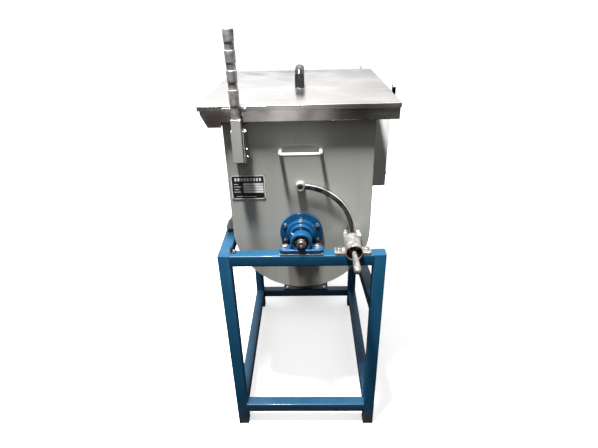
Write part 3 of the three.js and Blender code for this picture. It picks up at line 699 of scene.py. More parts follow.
def pillow_block(end):
    """A cast housing: foot with two raised bolt bosses, waisted neck and bored ring, with soft casting edges.
    """
    low, high = span(f"bearing_block_{end}")
    y = (low.y + high.y) / 2
    foot_top = low.z + FOOT_HEIGHT
    form = Form()
    plan = [(-70, -13), (-60, -19), (60, -19), (70, -13), (70, 13), (60, 19), (-60, 19), (-70, 13)]
    plan = rounded(plan, 9, 6)
    form.stack([(plan, low.z), (plan, foot_top - 3), ([p * 0.985 for p in plan], foot_top)],
               Matrix.Translation((0, y, 0)))
    for side in (-1, 1):
        form.turned([(0, low.z), (14, low.z), (13, foot_top + 1.5), (0, foot_top + 1.5)],
                    Matrix.Translation((side * FOOT_BOLT_X, y, 0)), 32)
    ring = [(BORE_R, -16), (RING_R - 1.5, -16), (RING_R, -14), (RING_R, 14), (RING_R - 1.5, 16),
            (BORE_R, 16), (BORE_R, -16)]
    form.turned(ring, aim((0, y, AXIS_Z), Y), 72)
    neck = [(-46, foot_top - 6), (-38, foot_top + 4), (-31, AXIS_Z - 4)]
    neck += [(p.x, p.y + AXIS_Z) for p in arc(BORE_R + 3, math.pi * 1.04, math.pi * 1.96, 14)]
    neck += [(31, AXIS_Z - 4), (38, foot_top + 4), (46, foot_top - 6)]
    form.prism(neck, aim((0, y - 13, 0), Y), 26)
    obj = piece(f"pillow_block_{end}", form, "stand", BEARING_PAINT,
                [f"bearing_block_{end}"])
    blocks = obj.modifiers.new("cast", "REMESH")
    blocks.mode = "VOXEL"
    blocks.voxel_size = 1.1 * MM
    blocks.use_smooth_shade = True
    soft = obj.modifiers.new("soft", "SMOOTH")
    soft.factor = 0.5
    soft.iterations = 7


def bearing_insert(end, outward):
    """Inner ring with two grub screws, rubber seal and outer ring."""
    y = middle(f"bearing_insert_{end}").y
    steel_rings, seal = Form(), Form()
    where = aim((0, y, AXIS_Z), Y)
    steel_rings.band(12.8, 17, -17, 17, where, 64, 0.6)
    steel_rings.band(23, BORE_R - GAP, -8.5, 8.5, where, 64, 0.5)
    for angle in (0.9, 2.9):
        out = radial(angle)[0]
        foot = Vector((0, y + outward * 12.5, AXIS_Z)) + out * 16.4
        socket = [(0, 0), (2.4, 0), (2.4, 1.6), (1.3, 1.6), (1.2, 0.6), (0, 0.6)]
        steel_rings.turned(socket, aim(foot, out), 18, 0.2)
    seal.turned([(17.1, -7.4), (20, -7.9), (22.9, -7.4), (22.9, 7.4), (20, 7.9), (17.1, 7.4),
                 (17.1, -7.4)], where, 64)
    piece(f"bearing_rings_{end}", steel_rings, "stand", BARE,
          [f"bearing_insert_{end}"])
    piece(f"bearing_seal_{end}", seal, "stand", RUBBER)


def build_bearings():
    fittings = Form()
    for end, outward in (("front", -1), ("rear", 1)):
        pillow_block(end)
        bearing_insert(end, outward)
        keep(f"packer_{end}", BARE, 0.5)
        low, high = span(f"bearing_block_{end}")
        y = (low.y + high.y) / 2
        for side in (-1, 1):
            bolt(fittings, (side * FOOT_BOLT_X, y, low.z + FOOT_HEIGHT + 1), Z, 11.5, spin=0.2 * side)
        tilt = Vector((-0.72, 0, 0.7)).normalized()
        grease_nipple(fittings, Vector((0, y, AXIS_Z)) + tilt * 33, tilt)
    piece("bearing_bolts", fittings, "stand", ZINC)


# ---------------------------------------------------------------- tank

SHEET = 3.0
SHAFT_HOLE_R = 13.5
FLANGE_BOLTS, FLANGE_BOLT_R = (28, 152, 208, 332), 59


def trough(r, top, arc_steps=72, side_steps=8, top_steps=12):
    """The tank's U-shaped outline round the tilt axis, as (x, z) points."""
    made = [(p.x, p.y + AXIS_Z) for p in arc(r, math.pi, TURN, arc_steps)]
    made += [(r, AXIS_Z + (top - AXIS_Z) * k / side_steps) for k in range(1, side_steps + 1)]
    made += [(r - 2 * r * k / top_steps, top) for k in range(1, top_steps)]
    made += [(-r, top - (top - AXIS_Z) * k / side_steps) for k in range(side_steps)]
    return made


def shell():
    """The rolled sheet, swept round the U as a flat strip."""
    y0, y1, top = TANK_LOW.y, TANK_HIGH.y, TANK_HIGH.z
    heights = [AXIS_Z + (top - AXIS_Z) * k / 8 for k in range(1, 9)]
    outline = [(TANK_R, z) for z in heights[::-1]]
    outline += [(p.x, p.y + AXIS_Z) for p in arc(TANK_R, 0, -math.pi, 96)]
    outline += [(-TANK_R, z) for z in heights]
    rings = []
    for x, z in outline:
        out = Vector((x, z - AXIS_Z)).normalized() if z < AXIS_Z else Vector((math.copysign(1, x), 0))
        inner = (x - out.x * SHEET, z - out.y * SHEET)
        rings.append([(x, y0, z), (x, y1, z), (inner[0], y1, inner[1]), (inner[0], y0, inner[1])])
    piece("trough_sheet", Form().loft(rings), "tank", TANK_PAINT, ["tank_shell"])


def end_wall(node, name):
    """A flat end plate with the shaft hole in it."""
    low, high = span(node)
    outline = trough(TANK_R, high.z)
    hole = []
    for x, z in outline:
        out = Vector((x, z - AXIS_Z)).normalized() * SHAFT_HOLE_R
        hole.append((out.x, out.y + AXIS_Z))
    rings = [[(x, y, z) for x, z in points] for points, y in
             ((outline, low.y), (hole, low.y), (hole, high.y), (outline, high.y))]
    piece(name, Form().loft(rings, loop=True), "tank", TANK_PAINT, [node], bevel=0.9)


def wall_flange(end, wall, outward, bolts):
    """A stepped bearing housing bolted to the end wall."""
    where = aim((0, wall + outward * GAP, AXIS_Z), Y * outward)
    profile = [(12.9, 0), (70, 0), (70, 10), (50, 12), (47, 24), (39, 25), (37.5, 36), (28, 36), (26, 33),
               (14, 33), (12.9, 31), (12.9, 0)]
    form = Form().turned(profile, where, 96, 1.6)
    piece(f"flange_housing_{end}", form, "tank", BEARING_PAINT,
          [f"wall_flange_{end}"])
    for angle in map(math.radians, FLANGE_BOLTS):
        seat = Vector((0, wall + outward * 10.3, AXIS_Z)) + radial(angle)[0] * FLANGE_BOLT_R
        bolt(bolts, seat, Y * outward, 7, spin=angle)
    grease_nipple(bolts, (0, wall + outward * 17, AXIS_Z + 48), Z)


SKIRT, GUTTER_RISE, GUTTER_SLOPE = 44, 38, 18


def rim_outline():
    """The end plate over the gutter and the skirt, as (x, z) points."""
    low, high = span("rim_frame")
    gutter = span("side_gutter")[0]
    step = -TANK_R + 3
    return [(high.x, high.z - SKIRT), (high.x, high.z), (low.x, high.z), (low.x, gutter.z + GUTTER_RISE),
            (low.x + GUTTER_SLOPE, gutter.z), (step, gutter.z), (step, high.z - SKIRT)]


def rim():
    """Folded stainless frame round the mouth: end plates, right skirt, top strips and turned hems."""
    low, high = span("rim_frame")
    form = Form()
    sheet = 2.0
    plate = rounded(rim_outline(), 1.6, 3)
    form.prism(plate, aim((0, low.y, 0), Y), sheet)
    form.prism(plate, aim((0, high.y - sheet, 0), Y), sheet)
    form.box(high.x - sheet, high.x, low.y + 1, high.y - 1, high.z - SKIRT, high.z - 0.2)
    inner = TANK_R - SHEET
    front, back = TANK_LOW.y, TANK_HIGH.y
    form.box(low.x + 0.4, high.x - 0.4, low.y + 0.4, front, high.z - sheet, high.z)
    form.box(low.x + 0.4, high.x - 0.4, back, high.y - 0.4, high.z - sheet, high.z)
    form.box(inner, high.x - 0.4, front - 1, back + 1, high.z - sheet, high.z)
    form.box(-inner - 6, -inner, front - 1, back + 1, high.z - sheet, high.z)
    hem, z = circle(1.7, 12), high.z - SKIRT + 1
    form.sweep([(-TANK_R + 5, low.y + 1.9, z), (high.x - 2, low.y + 1.9, z)], hem)
    form.sweep([(high.x - 1.9, low.y + 2, z), (high.x - 1.9, high.y - 2, z)], hem)
    piece("rim_sheet", form, "tank", RIM_STEEL, ["rim_frame"], bevel=0.5)
    low, high = span("side_gutter")
    outline = [(low.x, high.z), (low.x, low.z + GUTTER_RISE), (low.x + GUTTER_SLOPE, low.z), (high.x, low.z),
               (high.x, low.z + sheet), (low.x + GUTTER_SLOPE + 1.3, low.z + sheet),
               (low.x + sheet, low.z + GUTTER_RISE + 0.5), (low.x + sheet, high.z)]
    gutter = Form().prism(outline, aim((0, low.y, 0), Y), high.y - low.y)
    piece("gutter_sheet", gutter, "tank", RIM_STEEL, ["side_gutter"], bevel=0.5)


def grab_handle():
    """A bent rod welded to the front wall."""
    low, high = span("grab_handle")
    r, corner = 6.0, 16.8
    z = (low.z + high.z) / 2
    x0, x1, y0 = low.x + r, high.x - r, low.y + r
    route = rounded([(x0, WALL_FRONT), (x0, y0), (x1, y0), (x1, WALL_FRONT)], corner, 12, closed=False)
    path = resample([(p.x, p.y, z) for p in route], 3)
    form = Form().sweep(path, circle(r, 20))
    for x in (x0, x1):
        form.bead(hoop(x, WALL_FRONT - 0.8, z, r + 0.6, 24), 1.9, loop=True)
    piece("grab_rod", form, "tank", TANK_PAINT, ["grab_handle"])


LOCK_R, BUSH_R, QUADRANT_START, QUADRANT_END = 164, 13, -5, 84.9
LOCK_X = LOCK_R * math.cos(math.radians(QUADRANT_START))
LOCK_Z = AXIS_Z + LOCK_R * math.sin(math.radians(QUADRANT_START))


def bush(form, x, z, front, back):
    """A short tube for the bolt's tip, welded to the wall behind it."""
    form.band(8.6, BUSH_R, 0, back - front, aim((x, front, z), Y), 48, 0.9)
    form.bead(hoop(x, back - 0.8, z, BUSH_R + 0.2, 32), 1.8, loop=True)


def quadrant():
    """Arc bar with the lower bush that the bolt enters while the tank stands upright."""
    low, high = span("lock_bush")
    section = rectangle(4, 7.5, 1.2, 3, (4, 0))
    start, end, steps = math.radians(QUADRANT_START + 4.4), math.radians(QUADRANT_END), 110
    rings = []
    for k in range(steps + 1):
        out = radial(start + (end - start) * k / steps)[0]
        rings.append([Vector((0, low.y + 3 + p.x, AXIS_Z)) + out * (LOCK_R + p.y) for p in section])
    piece("quadrant_arc", Form().loft(rings), "tank", ARC_STEEL_PAINTED_LIGHT, ["quadrant_bar"])
    lower, upper = Form(), Form()
    bush(lower, LOCK_X, LOCK_Z, low.y, high.y)
    bush(upper, 0, AXIS_Z + LOCK_R, low.y, high.y)
    piece("lower_bush", lower, "tank", BARE)
    piece("upper_bush", upper, "tank", TANK_PAINT, ["lock_bush"])


def grip_profile(bottom, tops):
    """Stacked sleeves: each one tapers a little downwards and steps in to a fluted neck."""
    neck, sleeve, crown = 12.8, 13.8, 14.6
    profile = [(0, bottom), (neck - 0.6, bottom), (neck, bottom + 1)]
    base = bottom
    for top in tops:
        waist = base + (top - base) * (0.45 if base == bottom else 0.36)
        profile += [(neck, waist - 2), (sleeve - 0.3, waist), (sleeve, waist + 1.5), (crown, top - 2.5),
                    (crown - 0.3, top - 0.8), (crown - 1.4, top), (neck, top)]
        base = top
    profile[-1] = (0, tops[-1])
    return profile


def lever():
    """Square bar in its bracket, with the turned grip on top."""
    bar_low, bar_high = span("tilt_lever")
    grip_low, grip_high = span("lever_grip")
    x, y = (bar_low.x + bar_high.x) / 2, (bar_low.y + bar_high.y) / 2
    half = (bar_high.x - bar_low.x) / 2
    where = Matrix.Translation((x, y, 0))
    bar = Form()
    bar.stack([(square_section(half, 2.6, 3), bar_high.z - 3), (square_section(half, 2.6, 3), bar_low.z),
               (square_section(half, 0, 3), bar_low.z), (square_section(half, 0, 3), bar_high.z - 1),
               (square_section(half, 1, 3), bar_high.z)], where)
    piece("lever_bar", bar, "tank", TANK_PAINT, ["tilt_lever"])
    tops = [grip_low.z + share * (grip_high.z - grip_low.z) for share in (0.346, 0.563, 0.779, 1.0)]
    profile = divided(grip_profile(grip_low.z, tops), 3)
    necks = [(a, a + (b - a) * 0.34) for a, b in zip([grip_low.z] + tops, tops)]

    def flutes(angle, height):
        in_neck = any(low + 1.5 < height < high for low, high in necks)
        return 1 - (0.035 * (0.5 + 0.5 * math.cos(12 * angle)) if in_neck else 0.0)

    grip = Form().turned(profile, where, 96, ripple=flutes)
    piece("grip_sleeves", grip, "tank", GRIP_STEEL, ["lever_grip"], sharp=26)
    strap = Form()
    strap.slab(x - 40, x + 29, 56, 59.2, 1243, 1254, 1)
    piece("lever_strap", strap, "tank", BARE, bevel=0.5)
    keep("lever_bracket", TANK_PAINT, 0.7)
    return x


def nameplate():
    """A blank rating plate: black enamel with bare fields, held by four rivets."""
    low, high = span("nameplate")
    face = low.y
    base, fields, rivets = Form(), Form(), Form()
    outline = rectangle((high.x - low.x) / 2, (high.z - low.z) / 2, 3, 5)
    centre = Vector(((low.x + high.x) / 2, high.y, (low.z + high.z) / 2))
    base.prism(outline, aim(centre, -Y), high.y - low.y - 0.2)
    piece("plate_base", base, "tank", PLATE_BLACK, ["nameplate"], bevel=0.3)

    def field(x0, x1, z0, z1):
        fields.box(x0, x1, face + 0.02, face + 0.3, z0, z1)

    for z0, z1 in ((low.z + 0.4, low.z + 3.4), (high.z - 3.4, high.z - 0.4)):
        field(low.x + 3, high.x - 3, z0, z1)
    for x0, x1 in ((low.x + 0.4, low.x + 3.4), (high.x - 3.4, high.x - 0.4)):
        field(x0, x1, low.z + 3, high.z - 3)
    for k, word in enumerate((22, 17, 24, 14)):
        z = low.z + 22 + k * 8.6
        field(low.x + 38, high.x - 6, z, z + 6.8)
        field(low.x + 9, low.x + 9 + word, z + 2.6, z + 4)
    for k in range(9):
        field(low.x + 12 + k * 9.6, low.x + 18.5 + k * 9.6, high.z - 19.5, high.z - 9.5)
    field(low.x + 14, high.x - 30, low.z + 9, low.z + 10.4)
    piece("plate_fields", fields, "tank", PLATE_SILVER)
    for x in (low.x + 5, high.x - 5):
        for z in (low.z + 5, high.z - 5):
            rivet(rivets, (x, face + 0.2, z), -Y, 2.0)
    piece("plate_rivets", rivets, "tank", ZINC)


def build_tank():
    shell()
    end_wall("tank_front_wall", "front_plate")
    end_wall("tank_rear_wall", "rear_plate")
    bolts = Form()
    wall_flange("front", WALL_FRONT, -1, bolts)
    wall_flange("rear", WALL_BACK, 1, bolts)
    rim()
    grab_handle()
    quadrant()
    x = lever()
    bracket_high = span("lever_bracket")[1]
    for z in (1110, 1134, 1186):
        bolt(bolts, (bracket_high.x, 62, z), X, 5, nut=True)
    bolt(bolts, (x + 24, 56, 1248.5), -Y, 5, washer=False)
    piece("tank_bolts", bolts, "tank", ZINC)
    nameplate()
    keep("rest_lug", TANK_PAINT, 0.6)
    seams = Form()
    top = TANK_HIGH.z - SKIRT
    for y in (TANK_LOW.y - 0.1, TANK_HIGH.y + 0.1):
        path = [(x, y, z) for x, z in trough(TANK_R - 0.4, top, 120, 2, 2) if z < top]
        left_side = [p for p in path if p[0] < 0 and p[2] > AXIS_Z + 1]
        rest = [p for p in path if p not in left_side]
        seams.bead(left_side + rest, 1.5)
    piece("tank_seams", seams, "tank", TANK_PAINT)


# ---------------------------------------------------------------- lid


def lid_sheet(corner=5.0, fold=2.6, sheet=1.9):
    """A sheet with its edges folded down, softened along every fold."""
    low, high = span("lid_panel")
    half_x, half_y = (high.x - low.x) / 2, (high.y - low.y) / 2

    def ring(inset):
        return rectangle(half_x - inset, half_y - inset, max(1.2, corner - inset), 6)

    where = Matrix.Translation(((low.x + high.x) / 2, (low.y + high.y) / 2, 0))
    layers = [(ring(sheet + fold), high.z - sheet), (ring(sheet), high.z - sheet - fold),
              (ring(sheet), low.z),
              (ring(sheet * 0.5), low.z), (ring(0), low.z + 0.6), (ring(0), high.z - fold)]
    layers += [(ring(fold * (1 - math.cos(a))), high.z - fold * (1 - math.sin(a))) for a in
               [math.pi / 2 * k / 6 for k in range(1, 7)]]
    piece("lid_sheet", Form().stack(layers, where), "lid", LID_STEEL, ["lid_panel"])


def lid_handle():
    """A black bridge handle, arched across its back, on two washers."""
    low, high = span("lid_handle")
    z0, z1, y0, y1 = low.z, high.z, low.y, high.y
    post, bar, half = 19.0, 16.0, (high.x - low.x) / 2
    bridge = [(y0, z0), (y0 + post, z0), (y0 + post, z1 - bar - 5), (y0 + post + 7, z1 - bar),
              (y1 - post - 7, z1 - bar), (y1 - post, z1 - bar - 5), (y1 - post, z0), (y1, z0),
              (y1 - 1.5, z1 - 17), (y1 - 15, z1 - 3), (y1 - 28, z1), (y0 + 28, z1),
              (y0 + 15, z1 - 3), (y0 + 1.5, z1 - 17)]
    slices = []
    for k in range(25):
        side = math.sin(math.pi * (k / 24 - 0.5))
        fall = 1 - math.sqrt(max(0.0, 1 - side * side))
        ring = []
        for y, z in rounded(bridge, 5, 6):
            inward = min(y - y0, y1 - y)
            on_back = z > z1 - 8 or inward < 8 or inward + z1 - z < 26
            if on_back:
                share = max(0.0, min(1.0, (z - z1 + 36) / 30))
                z -= 12.5 * fall * share
                y += (3 + 3 * share) * fall * (1 if y < (y0 + y1) / 2 else -1)
            ring.append((half * side, y, z))
        slices.append(ring)
    piece("handle_bridge", Form().loft(slices), "lid", BLACK_PLASTIC, ["lid_handle"],
          sharp=50)
    washers = Form()
    for y in (y0 + 9, y1 - 9):
        washers.disc(14, z0 - GAP, z0 + 0.8, Matrix.Translation((0, y, 0)), 40, 0.3)
    piece("handle_washers", washers, "lid", ZINC)


# ---------------------------------------------------------------- agitator


SHAFT_R = 12.5
BIG_R, SMALL_R = 70, 35
BELT_FRONT, BELT_BACK = 803.0, 819.0


def build_agitator():
    """Shaft with its sleeve, the three paddles with their clamp bolts, and the big pulley."""
    low, high = span("agitator_shaft")
    where = aim((0, 0, AXIS_Z), Y)
    start, end = low.y, high.y
    inside = (WALL_FRONT + 12, WALL_BACK - 12)
    profile = [(0, start + 3), (1.5, start + 2.4), (3.2, start), (11, start), (SHAFT_R, start + 1.5),
               (SHAFT_R, inside[0]), (19, inside[0]), (20, inside[0] + 1), (20, inside[1] - 1),
               (19, inside[1]), (SHAFT_R, inside[1]), (SHAFT_R, end - 1), (SHAFT_R - 1, end), (0, end)]
    piece("shaft", Form().turned(profile, where, 64), "agitator", INNER_STEEL,
          ["agitator_shaft"])
    face = Form().band(3.4, 10.6, start - 0.25, start + 0.4, where, 48)
    piece("shaft_face", face, "agitator", RUSTY)
    clamp = Form()
    for k in (1, 2, 3):
        keep(f"paddle_{k}", INNER_STEEL, 0.9)
        y = middle(f"paddle_{k}").y
        turn = math.radians(60 * (k - 1)) + math.pi / 2
        out = Vector((math.sin(turn), 0, math.cos(turn)))
        for side in (-1, 1):
            for dy in (-18, 18):
                bolt(clamp, Vector((0, y + dy, AXIS_Z)) + out * side * 31.5, out * side, 6, washer=False)
    piece("paddle_bolts", clamp, "agitator", BARE)
    pulley("driven_pulley", "belt_wheel", BIG_R, 26, 12.8, AXIS_Z, "agitator")


def pulley(node, name, rim, hub, bore, z, body):
    """A flanged flat pulley with a turned web; the small one also shows its shaft."""
    low, high = span(node)
    where = aim((0, 0, z), Y)
    front, back = BELT_FRONT, BELT_BACK
    web = rim * 0.82
    profile = [(bore, front - 8), (hub, front - 8), (hub, front - 1), (web, front + 1), (rim - 3, front - 3),
               (rim + 6, front - 3), (rim + 6, front - 0.4), (rim, front - 0.3), (rim, back + 0.3),
               (rim + 6, back + 0.4), (rim + 6, back + 3), (rim - 3, back + 3), (web, back - 2),
               (hub, back - 2), (hub, back + 3), (bore, back + 3), (bore, front - 8)]
    form = Form().turned(profile, where, 96, 0.5)
    if node == "motor_pulley":
        form.turned([(0, low.y), (9, low.y), (10, low.y + 1), (10, high.y), (0, high.y)], where, 48)
    piece(name, form, body, DARK, [node])


# ---------------------------------------------------------------- drive


def belt_outline(offset, steps=48):
    """The band round the two pulleys, grown outwards by an offset, as (x, z) points."""
    lean = math.asin((BIG_R - SMALL_R) / (AXIS_Z - MOTOR_Z))
    made = [(p.x, p.y + AXIS_Z) for p in arc(BIG_R + offset, lean, math.pi - lean, steps)]
    made += [(p.x, p.y + MOTOR_Z) for p in arc(SMALL_R + offset, math.pi - lean, TURN + lean, steps)]
    return made


def straightened(outline, parts=40):
    """Adds points along the two straight runs of a belt outline."""
    half = len(outline) // 2
    first, second = outline[:half], outline[half:]

    def run(a, b):
        return [tuple(Vector(a).lerp(Vector(b), k / parts)) for k in range(1, parts)]

    return first + run(first[-1], second[0]) + second + run(second[-1], first[0])


def belt():
    low, high = span("drive_belt")
    rings = []
    inner, outer = straightened(belt_outline(0.6)), straightened(belt_outline(4.0))
    for (xi, zi), (xo, zo) in zip(inner, outer):
        rings.append([(xi, low.y, zi), (xi, high.y, zi), (xo, high.y - 0.5, zo), (xo, low.y + 0.5, zo)])
    piece("belt_band", Form().loft(rings, loop=True), "stand", RUBBER, ["drive_belt"], bevel=0.4)


GUARD_LUG = (780.3, 802, 766, 792)


def guard():
    """Pressed tray over the belt, with a rounded back edge, a hole for the gearbox boss and rows of pressed
    ribs.
    """
    back = span("belt_guard")[1].y
    front, fold = back - 44, 5.0
    outline = {inset: straightened(belt_outline(20 - inset)) for inset in (0, 0.4, 1.5, 3.2, 5, 2, 7)}
    hole = []
    for x, z in outline[0]:
        out = Vector((x, z - MOTOR_Z)).normalized() * 31
        hole.append((out.x, out.y + MOTOR_Z))

    def ring(points, y):
        return [(x, y, z) for x, z in points]

    rings = [ring(outline[2], front), ring(outline[0], front), ring(outline[0], back - fold),
             ring(outline[0.4], back - 2.8), ring(outline[1.5], back - 1.2), ring(outline[3.2], back - 0.3),
             ring(outline[5], back), ring(hole, back), ring(hole, back - 2), ring(outline[7], back - 2),
             ring(outline[2], back - fold - 1)]
    form = Form().loft(rings, loop=True)
    for x in (-87, 87):
        form.box(x - 9, x + 9, *GUARD_LUG)
    form.box(-30, 30, front, back, span("drive_base")[1].z + GAP, MOTOR_Z - 53)
    piece("belt_cover", form, "stand", DRIVE_PAINT, ["belt_guard"], bevel=0.5)
    ribs = Form()
    for k in range(7):
        z = 430 + k * 26
        half = 36 + k * 26 * 0.055
        for x in (-half, half):
            ribs.turned([(0, 0), (3.4, 0), (2.6, 1.5), (0, 1.8)], aim((x, back - 0.2, z), Y), 16)
        across = [(-half, back - 0.1, z), (half, back - 0.1, z)]
        ribs.sweep(across, [(3.4, 0), (2.2, 1.5), (-2.2, 1.5), (-3.4, 0)])
    piece("cover_ribs", ribs, "stand", DRIVE_PAINT)


def gearbox():
    """A ribbed cast case on a foot, with its boss, bolts and filler plug."""
    low = span("gearbox")[0]
    base = span("drive_base")[1].z + GAP
    half, front, back, top = 52, 846, 926, MOTOR_Z + 62
    form = Form()
    section = [(-half, base + 20), (-half + 14, base + 8), (half - 14, base + 8), (half, base + 20),
               (half, top - 14), (half - 14, top), (-half + 14, top), (-half, top - 14)]
    form.prism(rounded(section, 6, 4), aim((0, front, 0), Y), back - front)
    form.slab(-half - 16, half + 16, front + 4, back - 4, base, base + 10, 8)
    boss = [(10.4, low.y), (26, low.y), (28, low.y + 2), (30, front + 2), (10.4, front + 2), (10.4, low.y)]
    form.turned(boss, aim((0, 0, MOTOR_Z), Y), 64, 0.8)
    for k in range(5):
        z = base + 34 + k * 18
        for side in (-1, 1):
            form.box(side * half - 2.2, side * half + 2.2, front + 8, back - 8, z, z + 5)
    piece("gear_case", form, "stand", MOTOR_PAINT, ["gearbox"], bevel=1.4, segments=3)
    bolts = Form()
    for x in (-1, 1):
        for z in (MOTOR_Z - 44, MOTOR_Z + 44):
            bolt(bolts, (x * 38, front, z), -Y, 6, washer=False)
        for y in (front + 16, back - 16):
            bolt(bolts, (x * (half + 9), y, base + 10), Z, 7)
            bolt(bolts, (x * 46, y + 160, base + 8), Z, 6)
    bolt(bolts, (0, (front + back) / 2, top), Z, 9, washer=False)
    piece("drive_bolts", bolts, "stand", ZINC)


def motor():
    """Finned barrel, end bell, feet, terminal box and a slotted fan cowl."""
    low, high = span("motor_body")
    cowl_low, cowl_high = span("motor_fan_cowl")
    base, start, back = low.z, low.y, high.y
    centre = Vector((0, 0, MOTOR_Z))
    where = aim(centre, Y)
    form = Form()
    barrel = [(0, start), (69, start), (70, start + 1), (70, start + 9), (66, start + 12),
              (57, start + 15), (57, back - 10), (56, back), (0, back)]
    form.turned(barrel, where, 80, 0.8)
    for k in range(30):
        a = TURN * (k + 0.5) / 30
        if math.sin(a) < -0.86 or math.sin(a) > 0.9:
            continue
        out, side = radial(a)
        foot, tip = centre + out * 56, centre + out * 61.8
        fin = (foot + side * 1.3, tip + side * 0.8, tip - side * 0.8, foot - side * 1.3)
        form.loft([[p + Y * y for p in fin] for y in (start + 15, back - 12)])
    form.slab(-62, 62, start + 30, back - 40, base, base + 8, 5)
    for x in (-45, 45):
        form.box(x - 5, x + 5, start + 36, back - 46, base + 4, MOTOR_Z - 30)
    form.slab(-34, 34, start + 34, start + 106, MOTOR_Z + 46, MOTOR_Z + 82, 5)
    form.slab(-35.5, 35.5, start + 32.5, start + 107.5, MOTOR_Z + 83, MOTOR_Z + 92, 6)
    piece("motor_case", form, "stand", MOTOR_PAINT, ["motor_body"], bevel=0.8)
    cowl = Form()
    y0, y1 = cowl_low.y, cowl_high.y
    outer = (cowl_high.x - cowl_low.x) / 2
    cowl.turned([(outer - 2, y0), (outer, y0), (outer, y1 - 9), (outer - 3, y1 - 3), (outer - 9, y1),
                 (outer - 14, y1), (outer - 14, y1 - 2), (outer - 9.5, y1 - 2.2), (outer - 4.4, y1 - 4.6),
                 (outer - 2, y1 - 9.5), (outer - 2, y0)], where, 96, 0.6)
    for radius in (12, 19, 26, 33, 40, 46):
        cowl.band(radius, radius + 2.6, y1 - 2.4, y1 - 0.4, where, 72, 0.4)
    cowl.disc(9, y1 - 2.4, y1 - 0.2, where, 40, 0.5)
    for k in range(8):
        out, side = radial(TURN * k / 8)
        foot, tip, edge = centre + out * 6, centre + out * (outer - 12), side * 1.8
        spoke = (foot + edge, tip + edge, tip - edge, foot - edge)
        cowl.loft([[p + Y * y for p in spoke] for y in (y1 - 3, y1 - 1)])
    piece("fan_cowl", cowl, "stand", MOTOR_PAINT, ["motor_fan_cowl"])
    blades = [(0, back + 2), (46, back + 2), (44, back + 8), (14, back + 10), (0, back + 14)]
    fan = Form().turned(blades, where, 64, 1)
    piece("cowl_inside", fan, "stand", BLACK_PLASTIC)
    gland = Form()
    gland_at = aim((34, start + 70, MOTOR_Z + 66), X)
    hex_head(gland, gland_at, 20, 6)
    gland.turned([(0, 5), (8.4, 5), (8.4, 12), (7, 16), (4.2, 16), (4, 9), (0, 9)], gland_at, 40, 0.6)
    for x in (-29, 29):
        for y in (start + 39, start + 101):
            rivet(gland, (x, y, MOTOR_Z + 92), Z, 3)
    piece("motor_trim", gland, "stand", BLACK_PLASTIC)


def build_drive():
    # The base gets the dark steel finish as painted shade: it sits in shadow under the tank.
    keep("drive_base", DARK, 0.8)
    gearbox()
    motor()
    pulley("motor_pulley", "motor_wheel", SMALL_R, 20, 8, MOTOR_Z, "drive_pulley")
    belt()
    guard()


# ---------------------------------------------------------------- tilt lock


CHEEK_TOP, CHEEK_X, CHEEK_THICK = LOCK_Z + 22, 15, 13
TUBE_R, TUBE_BORE_R, PIN_BORE_R, SEAT_Y = 27, 24, 8.4, 35.3


def lock_housing():
    """Base plate on the rail, a wide-mouthed tube with a rusty bore, and two cheeks over the quadrant."""
    low, high = span("lock_housing")
    x, z = LOCK_X, LOCK_Z
    where = aim((x, 0, z), Y)
    form = Form()
    form.slab(x - 57.5, x + 57.5, 1, 39, low.z, low.z + 8, 5)
    profile = [(TUBE_BORE_R, low.y), (TUBE_R, low.y), (TUBE_R, 50), (PIN_BORE_R, 50), (PIN_BORE_R, SEAT_Y),
               (TUBE_BORE_R, SEAT_Y), (TUBE_BORE_R, low.y)]
    form.turned(profile, where, 80, 1.0)
    for near in (x - CHEEK_X - CHEEK_THICK, x + CHEEK_X):
        form.slab(near, near + CHEEK_THICK, 36, high.y, z - 4, CHEEK_TOP, 3)
    piece("lock_body", form, "stand", LOCK_METAL, ["lock_housing"], bevel=0.9, segments=3)
    lining = [(23.4, low.y + 3), (23.9, low.y + 2.4), (23.9, 35.1), (8.5, 35.1), (8.5, 34.8), (23.4, 34.8),
              (23.4, low.y + 3)]
    piece("lock_bore", Form().turned(lining, where, 64), "stand", RUSTY)
    bolts = Form()
    for side in (-1, 1):
        bolt(bolts, (x + side * 43, 20, low.z + 8), Z, 9.5, nut=True, spin=0.5 * side)
    for side, size in ((-1, 8), (1, 5)):
        bolt(bolts, (x + side * (CHEEK_X + CHEEK_THICK / 2), 66, CHEEK_TOP), Z, size)
    piece("lock_bolts", bolts, "stand", ZINC)


def lock_pull():
    """The sliding bolt: a dented, tapered pull, its collar and its tip."""
    low, high = span("lock_pin")
    pull = [(0, 0), (5, 0), (8, 1.6), (10.2, 6), (11.2, 18), (10.6, 34), (8.6, 70), (7, 96), (6.5, 109),
            (8, 115)]
    pull = [(r, low.y + y) for r, y in pull]
    pull += [(8, 9), (19.2, 9), (20, 9.8), (20, 13.2), (19.2, 14), (8, 14), (8, high.y - 3), (5, high.y),
             (0, high.y)]

    def dents(angle, y):
        return 1 + 0.02 * math.sin(3 * angle + y * 0.21) * math.sin(y * 0.11)

    pin = Form().turned(divided(pull, 4), aim((LOCK_X, 0, LOCK_Z), Y), 56, ripple=dents)
    piece("lock_pull", pin, "lock_bolt", LOCK_METAL, ["lock_pin"], sharp=40)


# ---------------------------------------------------------------- control box


STEM_R = 9


def door_shell():
    """Pressed door, rounded along its edges and hollow behind."""
    low, high = span("control_door")
    half_y, half_z = (high.y - low.y) / 2, (high.z - low.z) / 2
    where = aim((0, (low.y + high.y) / 2, (low.z + high.z) / 2), X)

    def ring(inset):
        return rectangle(half_y - inset, half_z - inset, max(1.0, 5 - inset), 5)

    x0, x1 = low.x, high.x
    layers = [(ring(4), x1 - 2), (ring(2), x1 - 4), (ring(2), x0), (ring(0), x0), (ring(0), x1 - 3),
              (ring(0.4), x1 - 1.4), (ring(1.4), x1 - 0.4), (ring(3), x1)]
    piece("door_panel", Form().stack(layers, where), "box_door", BOX_PAINT, ["control_door"])


